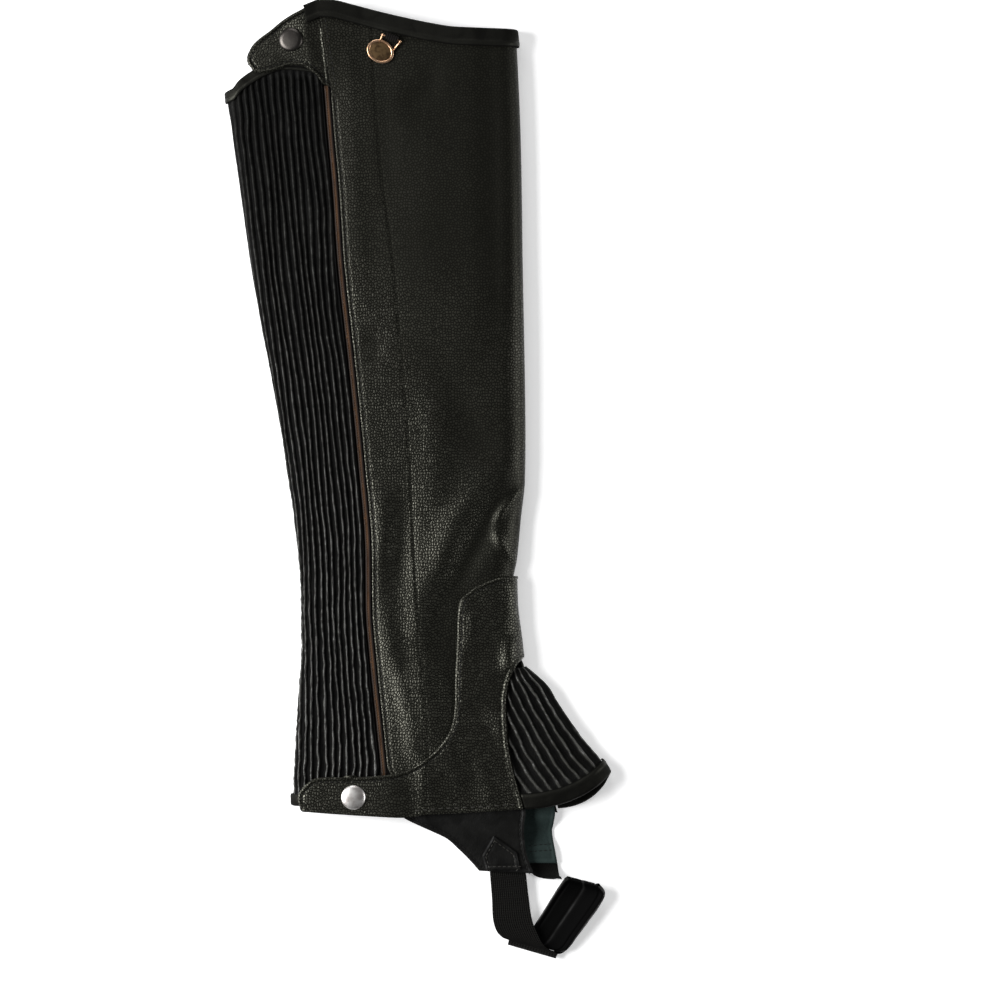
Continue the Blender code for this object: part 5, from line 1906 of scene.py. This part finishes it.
@dataclass
class AnkleGusset:
    """Fan of gathered leather, folded at the shin, that lets the ankle flex; its hem is bound."""

    shop: Workshop
    panel: MainPanel
    apex_y: float = -94.0
    fold_end: float = -152.9
    seam_end: float = -171.4
    bow: Vector = field(default_factory=lambda: Vector((2.9, -4.3)))
    seam_run: Vector = field(default_factory=lambda: Vector((0.30, -0.95)))
    fold_run: Vector = field(default_factory=lambda: Vector((0.42, -0.90)))
    pleats: int = 9
    rest: float = 0.5
    first_row: float = 0.06
    shin_gap: float = 0.02
    fold: BindingFold = BindingFold(7.0, GUSSET_WALL, 0.35)

    def point(self, across: float, down: float, out: float = 0.0, past: float = 0.0) -> Vector:
        """Point of the fan.

        Args:
            across: 0 at the outer seam, 1 at the fold, 2 at the inner seam.
            down: 0 at the apex, 1 at the hem.
            out: distance out of the tube's face.
            past: distance down past there.

        Returns:
            The point.
        """
        side = Side.OUTER if across <= 1 else Side.INNER
        share = across if side is Side.OUTER else 2 - across
        fold_y = mix(self.apex_y, self.fold_end, down)
        seam_y = mix(self.apex_y, self.seam_end, down)
        along = slowing(share)
        seam_spot = Vector((ANKLE_SEAM_X[side](seam_y) + GAP, seam_y))
        spot = seam_spot.lerp(Vector((FRONT(fold_y) - self.shin_gap, fold_y)), along)
        spot += self.bow * (down**2 * 4 * along * (1 - along))
        spot += self.seam_run.lerp(self.fold_run, share) * past
        spot.x = min(spot.x, FRONT(spot.y) - self.shin_gap)
        return TUBE.point(side, spot.x, spot.y, out)

    def ridge(self, across: float, down: float) -> tuple[float, int]:
        """How far up a pleat's ridge a place is, from 0 to 1, and which pleat it is.

        Args:
            across: 0 at the outer seam, 1 at the fold.
            down: 0 at the apex, 1 at the hem.

        Returns:
            The height up the ridge, and the pleat's number.
        """
        along = slowing(min(across, 1.0))
        phase = self.pleats * (1 - down ** 0.42 * (1 - along))
        phase += 0.2 * uneven(down * 7, along * 5, 3.0) + 0.07 * uneven(down * 20, along * 14, 6.0)
        return (0.5 + 0.5 * math.cos(math.tau * phase)) ** 4.5, math.floor(phase + 0.5)

    def pleat(self, across: float, down: float) -> float:
        """Height of the pleats, which start along the outer seam and run to the hem.

        Args:
            across: 0 at the outer seam, 1 at the fold.
            down: 0 at the apex, 1 at the hem.

        Returns:
            The height.
        """
        ridge, number = self.ridge(across, down)
        pucker = uneven(down * 30, number * 2.3, 1.0)
        fade = smooth_step(down, 0.06, 0.22) * (1 - smooth_step(down, 0.86, 0.91))
        fade *= 1 - 0.8 * smooth_step(across, 0.86, 0.97) - 0.2 * smooth_step(across, 1.0, 1.15)
        return (1.6 * ridge * (1 + 0.22 * pucker) - 0.75) * fade - self.rest

    def build(self) -> None:
        """Makes the fan and its bound hem."""

        def place(across: float, down: float) -> Vector:
            """Point of the fan, with most columns on the outer side."""
            reach = ramp(across, (0.0, 0.0), (0.8, 1.0), (1.0, 1.99))
            row = mix(self.first_row, 1.0, down)
            return self.point(reach, row, self.pleat(reach, row))

        def rubbed_and_lit(across: float, down: float) -> float:
            """How rubbed a point is: a painted highlight along the ridges, with painted shade in the
            grooves.
            """
            ridge, number = self.ridge(across / 0.8, mix(self.first_row, 1.0, down))
            return 0.05 + 1.6 * ridge ** 2.4 * (1.0 + 0.25 * uneven(down * 34, number * 4.3, 5.0))

        def bound(across: float, down: float) -> Vector:
            """Point of the strip over the hem."""
            reach = ramp(across, (0.0, 0.0), (0.7, 1.0), (1.0, 1.99))
            past, out = self.fold.at(1 - down, uneven(across * 14, 2.0))
            return self.point(reach, 1.0, out - self.rest, past)

        fan = cloth("ankle_gusset_pleats", [Patch(150, 110, place, rubbed_and_lit)], GUSSET_WALL)
        self.shop.add(fan, PLEATED, Slot.GATHERED, "ankle_gusset")
        patch = Patch(110, 36, bound, lambda _, down: self.fold.rubbed_and_lit(0.0, 1 - down))
        strip = cloth("ankle_hem_strip", [patch], BINDING_WALL, inwards=False, edge=0.4)
        self.shop.add(strip, BOUND, Slot.SMOOTH, "ankle_binding")


@dataclass
class Drops:
    """The two leather drops that carry the foot strap, and the patch over the outer one's end."""

    shop: Workshop
    outer_end: float = 6.9
    strap_floor: float = 0.05
    patch_inset: float = 1.8
    drop_inset: float = 2.2
    outer_left: Route = route(
        (-16, -168.5), (-12.6, -173.5), (-6.4, -178), (1.3, -181.7), (8.1, -184.8), (15.5, -188.5),
        (21.3, -193.7), (26.5, -198.8), (32.4, -205.4))
    outer_right: Route = route(
        (53.6, -163.5), (55.4, -169.6), (56.6, -174), (56.1, -179.5), (55.9, -184.5),
        (56.2, -190), (57, -195.5), (58.6, -200.8), (61, -206.8))
    inner_left: Route = route(
        (8, -165), (11, -174), (17, -180.5), (24, -185.5), (31, -190.5), (38, -196),
        (45, -201.5))
    inner_right: Route = route(
        (69.4, -164), (72.2, -174), (71.6, -180), (70.7, -184.5), (71.4, -190.3),
        (72.6, -196.6), (73.2, -201.6))
    patch_left: Route = route(
        (39.8, -186.9), (37.2, -191.5), (33.9, -197.4), (35, -201.2), (36, -205), smooth=False)
    patch_right: Route = route(
        (39.9, -186.9), (45.6, -191), (52, -195.8), (52.9, -200.2), (53.8, -204.8), smooth=False)

    def outer_z(self, x: float, y: float) -> float:
        """Face of the outer drop: under the main panel's hem, then sloping down to the strap.

        Args:
            x: plan x.
            y: plan y.

        Returns:
            The height.
        """
        level = max(y, -176.0)
        tucked = TUBE.height(Side.OUTER, min(x, 60.0), level) - TUBE.facing(x, level)
        tucked -= LEATHER + GAP + 0.1
        left_edge = smooth_step(x, 12, -30) if x < 12 else 0.0
        return mix(tucked, self.outer_end, smooth_step(-y, 172, 205)) - 0.9 * left_edge

    def inner_z(self, x: float, y: float) -> float:
        """Face of the inner drop: on the inner panel, then down, then over the strap's end.

        Args:
            x: plan x.
            y: plan y.

        Returns:
            The height.
        """
        on_panel = TUBE.height(Side.INNER, min(x, 72.0), max(y, -172.0))
        on_panel += LEATHER + TRIM_LEATHER + 2 * GAP
        flat = mix(on_panel, TRIM_LEATHER + self.strap_floor, smooth_step(-y, 176.5, 184))
        return mix(flat, ELASTIC + 1.5 * GAP + TRIM_LEATHER, smooth_step(-y, 187, 194))

    def sheet(
        self, name: str, left: Route, right: Route, height: Height, size: tuple[int, int]
    ) -> Piece:
        """A cut between two edges, with its own edges turned in.

        Args:
            name: the piece's name.
            left: its left edge in plan.
            right: its right edge in plan.
            height: gives the height of its face.
            size: its faces across and down.

        Returns:
            The new piece.
        """
        lines = [left.steps(40), right.steps(40), [left(1.0), right(1.0)]]

        def place(across: float, down: float) -> Vector:
            """Point of the cut."""
            x, y = left(down).lerp(right(down), crowd(across))
            rise = turned_edge(min(line_distance(x, y, line) for line in lines), 0.3)
            return Vector((x, y, height(x, y) + rise))

        return cloth(name, [Patch(*size, place)], TRIM_LEATHER, edge=0.35)

    def stitches(self, name: str, line: Sequence[Vector], height: Height, thread: Finish) -> None:
        """Stitches along a line in plan, on a face given by its height."""
        spots = [(Vector((x, y, height(x, y))), Vector((0.0, 0.0, 1.0))) for x, y in line]
        self.shop.sew(name, spots, DROP_STITCH, thread)

    def patch_z(self, x: float, y: float) -> float:
        """Face of the patch."""
        return self.outer_z(x, y) + GAP + TRIM_LEATHER

    def build(self) -> None:
        """Makes the drops, the patch and their stitches."""
        outer = self.sheet(
            "outer_drop_leather", self.outer_left, self.outer_right, self.outer_z, (90, 70)
        )
        self.shop.add(outer, DROP, Slot.SMOOTH, "outer_drop")
        inner = self.sheet(
            "inner_drop_split", self.inner_left, self.inner_right, self.inner_z, (80, 60)
        )
        self.shop.add(inner, SPLIT, Slot.SPLIT, "inner_drop")
        patch = self.sheet(
            "strap_patch_leather", self.patch_left, self.patch_right, self.patch_z, (44, 44)
        )
        self.shop.add(patch, DROP, Slot.SMOOTH, "strap_patch")
        left, right = self.patch_left.steps(20), self.patch_right.steps(20)
        sides = (left, [left[-1], right[-1]], right[::-1])
        ring = [point for side in sides for point in inset(side, self.patch_inset)]
        self.stitches("strap_patch_stitch", ring[1:-1], self.patch_z, LIT_THREAD)
        left = inset(self.outer_left.steps(30)[6:], self.drop_inset)
        self.stitches("outer_drop_left_stitch", left, self.outer_z, THREAD)
        right = inset(self.outer_right.steps(30)[9:][::-1], self.drop_inset)
        self.stitches("outer_drop_right_stitch", right, self.outer_z, THREAD)
        for name, y in (("inner_drop_stitch", -192.4), ("inner_drop_lower_stitch", -195.6)):
            row = [Vector((x, y + 0.08 * (x - 58))) for x in range(58, 72)]
            self.stitches(name, row, self.inner_z, THREAD)


@dataclass(frozen=True)
class Band:
    """A band between two edges in space, with even steps along it."""

    left: Route
    right: Route
    sag: float = 0.0
    steps: int = 60

    def placer(self) -> Place:
        """A function that gives the band's point at a share across and a share of its length.

        Returns:
            The function.
        """
        shares = [step / self.steps for step in range(self.steps + 1)]
        lengths = run_lengths([self.left(share).lerp(self.right(share), 0.5) for share in shares])

        def place(across: float, down: float) -> Vector:
            """Point of the band; its middle sags where it is tilted."""
            index, share = at_length(lengths, lengths[-1] * down)
            left, right = [edge((index + share) / self.steps) for edge in (self.left, self.right)]
            point = left.lerp(right, across)
            hollow = self.sag * smooth_step(abs(right.z - left.z) + abs(left.z - 3.0), 0.3, 3.0)
            point.z -= hollow * 4 * across * (1 - across)
            return point

        return place


@dataclass
class Strap:
    """Elastic down from the outer drop and round under the foot, its pad, and its inner end."""

    shop: Workshop
    bend_left: Vector = field(default_factory=lambda: Vector((47.3, -244.5)))
    bend_right: Vector = field(default_factory=lambda: Vector((72.6, -251.8)))
    bend_radius: float = 2.5
    floor: float = 0.05
    outer_left: Points = (
        (37.6, -200.6, 5.2), (37.9, -206, 5.1), (39, -220, 5.1), (39.6, -231, 5.3),
        (41.4, -237, 5.3), (44.4, -240.4, 5.2))
    outer_right: Points = (
        (56, -200.6, 5.2), (57, -207.6, 5.1), (58.5, -220.5, 5.1), (60.1, -231, 5.3),
        (62.6, -238.2, 5.3), (66.4, -245, 5.2))
    pad_left: Points = (
        (78.4, -209.8, 9), (76, -211.8, 6), (71.6, -217.9, 3.2), (66.6, -226, 2.8),
        (61.7, -233.6, 2.7), (57.8, -239.6, 2.7), (55.6, -243.1, 2.7))
    pad_right: Points = (
        (95.2, -213.6, 9.4), (98, -217.6, 8.4), (95.4, -223.4, 7.6), (89.6, -231.6, 7),
        (83.4, -240.2, 6.2), (78.2, -247.4, 4.2), (73.6, -248.2, 2.7))
    inner_left: Points = (
        (55, -195.5, 1.55), (57, -202.4, 1.55), (59, -205.6, 1.65), (61.5, -208.3, 1.7),
        (66.5, -209.8, 1.8), (71.6, -210.2, 1.9))
    inner_right: Points = (
        (72.4, -195.5, 1.55), (73.6, -202.4, 1.55), (74, -205.4, 2.6), (74.4, -207.4, 5.2),
        (74.6, -208.3, 8), (74.7, -208.8, 10))
    pad_wall: float = 2.2
    pad_width: float = 23.0

    def bend(self, end: Vector) -> list[Vector]:
        """One edge's turn round the bottom fold, and its short tail underneath.

        Args:
            end: where the edge meets the fold, in plan.

        Returns:
            The points of the edge.
        """
        along = (self.bend_right - self.bend_left).normalized()
        back_off = Vector((-along.y, along.x))
        points = []
        for step in range(7):
            angle = math.pi * step / 6
            spot = end + back_off * (self.bend_radius * (1 - math.sin(angle)))
            points.append(Vector((*spot, self.bend_radius * (1 + math.cos(angle)) + self.floor)))
        tail = end + back_off * (self.bend_radius + 0.8)
        return [*points, Vector((*tail, self.floor))]

    def elastic(self, name: str, node: str, band: Band, rows: int) -> None:
        """Makes a stretch of the elastic.

        Args:
            name: the piece's name.
            node: the solid that it replaces.
            band: where it lies.
            rows: faces along it.
        """
        piece = cloth(name, [Patch(24, rows, band.placer())], ELASTIC, edge=0.35)
        self.shop.add(piece, ELASTIC_WEAVE, Slot.ELASTIC, node)

    def build(self) -> None:
        """Makes the elastic's two stretches and the pad."""
        outer = Band(
            Route([*self.outer_left, *self.bend(self.bend_left)]),
            Route([*self.outer_right, *self.bend(self.bend_right)]),
        )
        self.elastic("strap_outer_elastic", "strap_outer", outer, 110)
        inner = Band(Route(self.inner_left), Route(self.inner_right))
        self.elastic("strap_inner_elastic", "strap_inner", inner, 50)
        surface = Band(Route(self.pad_left), Route(self.pad_right), 1.6).placer()

        def place(across: float, down: float) -> Vector:
            """Point of the pad: a rim along its sides and a stitched line down its middle."""
            point = surface(crowd(across), down)
            from_edge = slowing(min(across, 1 - across))
            point.z += turned_edge(self.pad_width * from_edge**2, 0.5) - 0.35 * hump(across, 0.5, 0.03)
            return point

        def rubbed_and_lit(across: float, _down: float) -> float:
            """Painted highlight along the pad's sides and its stitched line."""
            sides = max(hump(across, 0.03, 0.04), hump(across, 0.97, 0.04))
            return max(0.4 * hump(across, 0.5, 0.02), sides)

        pad = cloth("strap_pad_leather", [Patch(70, 80, place, rubbed_and_lit)], self.pad_wall, edge=0.7)
        self.shop.add(pad, PAD, Slot.SMOOTH, "strap_pad")


@dataclass
class Snaps:
    """Caps of the two snaps, each pressed through a tab."""

    shop: Workshop
    radius: float = 6.4
    height: float = 1.9
    steps: int = 72

    def cap(self, name: str, node: str, finish: Finish, surface: Height, flat: float) -> None:
        """Makes a cap where its solid lies.

        Args:
            name: the piece's name.
            node: the solid that it replaces.
            finish: its plating.
            surface: gives the height of the leather under it.
            flat: share of its radius that is nearly flat.
        """
        low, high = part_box(node)
        x, y = 500 * (low[0] + high[0]), 500 * (low[1] + high[1])
        normal = face_normal(surface, x, y, self.radius)
        middle = Vector((x, y, 500 * (low[2] + high[2]))) - normal * (self.height / 2)
        turn = Vector((0, 0, 1)).rotation_difference(normal).to_matrix().to_4x4()
        profile = [(0.0, self.height)]
        for step in range(1, 15):
            angle = math.pi / 2 * step / 14
            across = mix(flat, 1.0, math.sin(angle)) * self.radius
            profile.append((across, self.height * mix(0.22, 0.97, math.cos(angle))))
        profile += [(self.radius * 0.985, 0.1), (self.radius * 0.93, 0.0), (0.0, 0.0)]
        matrix = Matrix.Translation(middle) @ turn
        self.shop.add(lathe(name, profile, self.steps, matrix), finish, Slot.STEEL, node)

    def build(self, tab: TopTab, foot: FootPanel) -> None:
        """Makes both caps."""
        self.cap("top_snap_cap", "top_snap", GUNMETAL, tab.height, 0.55)
        self.cap("foot_snap_cap", "foot_snap", NICKEL, lambda x, y: foot.point(x, y).z, 0.1)


@dataclass
class Charm:
    """Blank oval plate that hangs by a wire bail from a ribbon loop at the knee."""

    shop: Workshop
    centre: tuple[float, float] = (-19.4, 224.4)
    long: float = 14.7
    short: float = 12.0
    thick: float = 1.3
    steps: int = 64
    turn: float = math.radians(-28)
    bar_ends: tuple[tuple[float, float], ...] = ((-18.2, 233.0), (-8.9, 229.5))
    feet: tuple[tuple[float, float], ...] = ((-19.9, 229.2), (-12.6, 224.9))
    wire: float = 0.55
    bead: float = 0.85
    ribbon_wall: float = 0.6
    ribbon_half: float = 3.5
    ribbon_tail: float = 1.9

    def build(self, bar: Vector) -> None:
        """Makes the charm and its ribbon.

        Args:
            bar: the joint's place, on the bail's bar, in millimetres.
        """
        low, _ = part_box("charm")
        height = low[2] / MM + self.thick / 2
        half = self.thick / 2
        matrix = (
            Matrix.Translation((*self.centre, height))
            @ Matrix.Rotation(self.turn, 4, "Z")
            @ Matrix.Diagonal((self.long / 2, self.short / 2, 1.0, 1.0))
        )
        dish = half - 0.32
        face = ((0.0, dish + 0.1), (0.4, dish + 0.07), (0.74, dish - 0.04), (0.8, dish - 0.1))
        plate = [*face, (0.81, -half + 0.1), (0.0, -half + 0.1)]
        rim = [(0.79, -half + 0.05), (0.79, dish + 0.1)]
        for step in range(13):
            angle = math.pi * step / 12
            rim.append((0.895 - 0.095 * math.cos(angle), half - 0.18 + 0.2 * math.sin(angle)))
        rim += [(0.99, -half + 0.12), (0.95, -half), (0.82, -half), (0.79, -half + 0.05)]
        made = lathe("charm_plate", plate, self.steps, matrix)
        self.shop.add(made, COPPER, Slot.COPPER, "charm", body=Body.CHARM)
        made = lathe("charm_rim", rim, self.steps, matrix)
        self.shop.add(made, RUBBED_COPPER, Slot.COPPER, body=Body.CHARM)
        self.shop.add(self.bail(bar.z, height), RUBBED_COPPER, Slot.COPPER, body=Body.CHARM)
        self.ribbon(bar.z)

    def bail(self, bar_z: float, plate_z: float) -> Piece:
        """The wire from the plate up to the bar and back, with a bead at each of the bar's ends.

        Args:
            bar_z: height of the bar.
            plate_z: height of the plate's middle.

        Returns:
            The new piece.
        """
        ends = [Vector((*end, bar_z)) for end in self.bar_ends]
        feet = [Vector((*foot, plate_z + 0.1)) for foot in self.feet]
        corners = [feet[0], *ends, feet[1]]
        path = [corners[0]]
        for before, corner, after in zip(corners, corners[1:], corners[2:]):
            start = corner + (before - corner).normalized()
            end = corner + (after - corner).normalized()
            for step in range(7):
                share = step / 6
                path.append(start.lerp(corner, share).lerp(corner.lerp(end, share), share))
        mesh_bm = bmesh.new()
        wire(mesh_bm, [*path, corners[-1]], self.wire, 14)
        for end in ends:
            made = bmesh.ops.create_uvsphere(mesh_bm, u_segments=16, v_segments=10, radius=self.bead)
            bmesh.ops.translate(mesh_bm, vec=end, verts=made["verts"])
        bmesh.ops.recalc_face_normals(mesh_bm, faces=mesh_bm.faces)
        return keep(mesh_bm, "charm_bail")

    def ribbon(self, bar_z: float) -> None:
        """The ribbon, folded round the bar, its two ends under the binding.

        Args:
            bar_z: height of the bar.
        """
        ends = [Vector((*end, bar_z)) for end in self.bar_ends]
        along = (ends[1] - ends[0]).normalized()
        up_leg = Vector((-along.y, along.x, 0.0))
        middle = (ends[0] + ends[1]) / 2
        radius = self.wire + GAP

        def place(across: float, down: float) -> Vector:
            """Point of the ribbon, from the tail on top round the bar to the tail below."""
            line = middle + along * (self.ribbon_half * (2 * across - 1))
            tail = self.ribbon_tail * max(abs(down - 0.5) - 0.25, 0.0) / 0.25
            angle = math.pi * (0.5 + clamp((down - 0.25) / 0.5))
            up = tail + math.cos(angle) * radius
            return line + up_leg * up + Vector((0, 0, math.sin(angle) * radius))

        made = cloth("charm_ribbon", [Patch(12, 36, place)], self.ribbon_wall, inwards=False, edge=0.15)
        self.shop.add(made, RIBBON, Slot.ELASTIC, "charm_loop")


@dataclass
class Studio:
    """Pale table, soft light from above and a camera straight above the half chap."""

    shop: Workshop
    view: float = 525.0
    aim: tuple[float, float] = (43.2, -10.6)
    distance: float = 3000.0
    table: float = 6000.0
    sunk: float = 0.05
    room_light: float = 0.1

    def softbox(self, name: str, place: Sequence[float], size: float, power: float) -> None:
        """A square area light that looks at the half chap.

        Args:
            name: the light's name.
            place: where it stands, in millimetres.
            size: its side in millimetres.
            power: its power in watts.
        """
        data = bpy.data.lights.new(name, "AREA")
        data.shape = "SQUARE"
        data.size = size * MM
        data.energy = power
        lamp = bpy.data.objects.new(name, data)
        lamp.location = Vector(place) * MM
        lamp.rotation_mode = "QUATERNION"
        lamp.rotation_quaternion = (-Vector(place)).to_track_quat("-Z", "Y")
        bpy.context.scene.collection.objects.link(lamp)

    def build(self) -> None:
        """Makes the table, the lights, the surroundings and the camera."""
        mesh_bm = bmesh.new()
        bmesh.ops.create_grid(mesh_bm, x_segments=1, y_segments=1, size=self.table / 2)
        bmesh.ops.translate(mesh_bm, vec=(0, 0, -self.sunk), verts=mesh_bm.verts)
        table = keep(mesh_bm, "table")
        table.data.materials.append(self.shop.material(TABLE))
        table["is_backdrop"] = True
        self.softbox("key_softbox", (-1320, 60, 1000), 1000, 50.0)
        self.softbox("fill_softbox", (-200, 1400, 900), 800, 7.0)
        self.softbox("side_softbox", (1400, -100, 750), 800, 8.5)
        world = bpy.data.worlds.new("room")
        world.use_nodes = True
        background = world.node_tree.nodes["Background"]
        background.inputs["Color"].default_value = linear("#f4f6f8")
        background.inputs["Strength"].default_value = self.room_light
        scene = bpy.context.scene
        scene.world = world
        scene.view_settings.view_transform = "Standard"
        low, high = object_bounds()
        middle = (Vector(low) + Vector(high)) / 2
        data = bpy.data.cameras.new("camera")
        data.lens = data.sensor_width * self.distance / self.view
        data.clip_end = 100.0
        camera = bpy.data.objects.new("camera", data)
        camera.location = middle + Vector((*self.aim, self.distance)) * MM
        scene.collection.objects.link(camera)
        scene.camera = camera


def main() -> None:
    """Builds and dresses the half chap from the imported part, then lights it."""
    logging.basicConfig(level=logging.INFO, format="%(name)s: %(message)s")
    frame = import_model()
    shop = Workshop()
    panel = MainPanel(shop)
    tab = TopTab(shop, panel)
    foot = FootPanel(shop, panel)
    panel.build()
    TopBinding(shop, panel, tab).build()
    BackGusset(shop, panel).build()
    Zip(shop).build()
    tab.build()
    foot.build()
    AnkleGusset(shop, panel).build()
    Drops(shop).build()
    Strap(shop).build()
    Snaps(shop).build(tab, foot)
    hinge = frame["record"]["behaviour"]["joints"][0]
    Charm(shop).build(Vector(hinge["pos_m"]) / MM)
    Studio(shop).build()


if __name__ == "__main__":
    main()
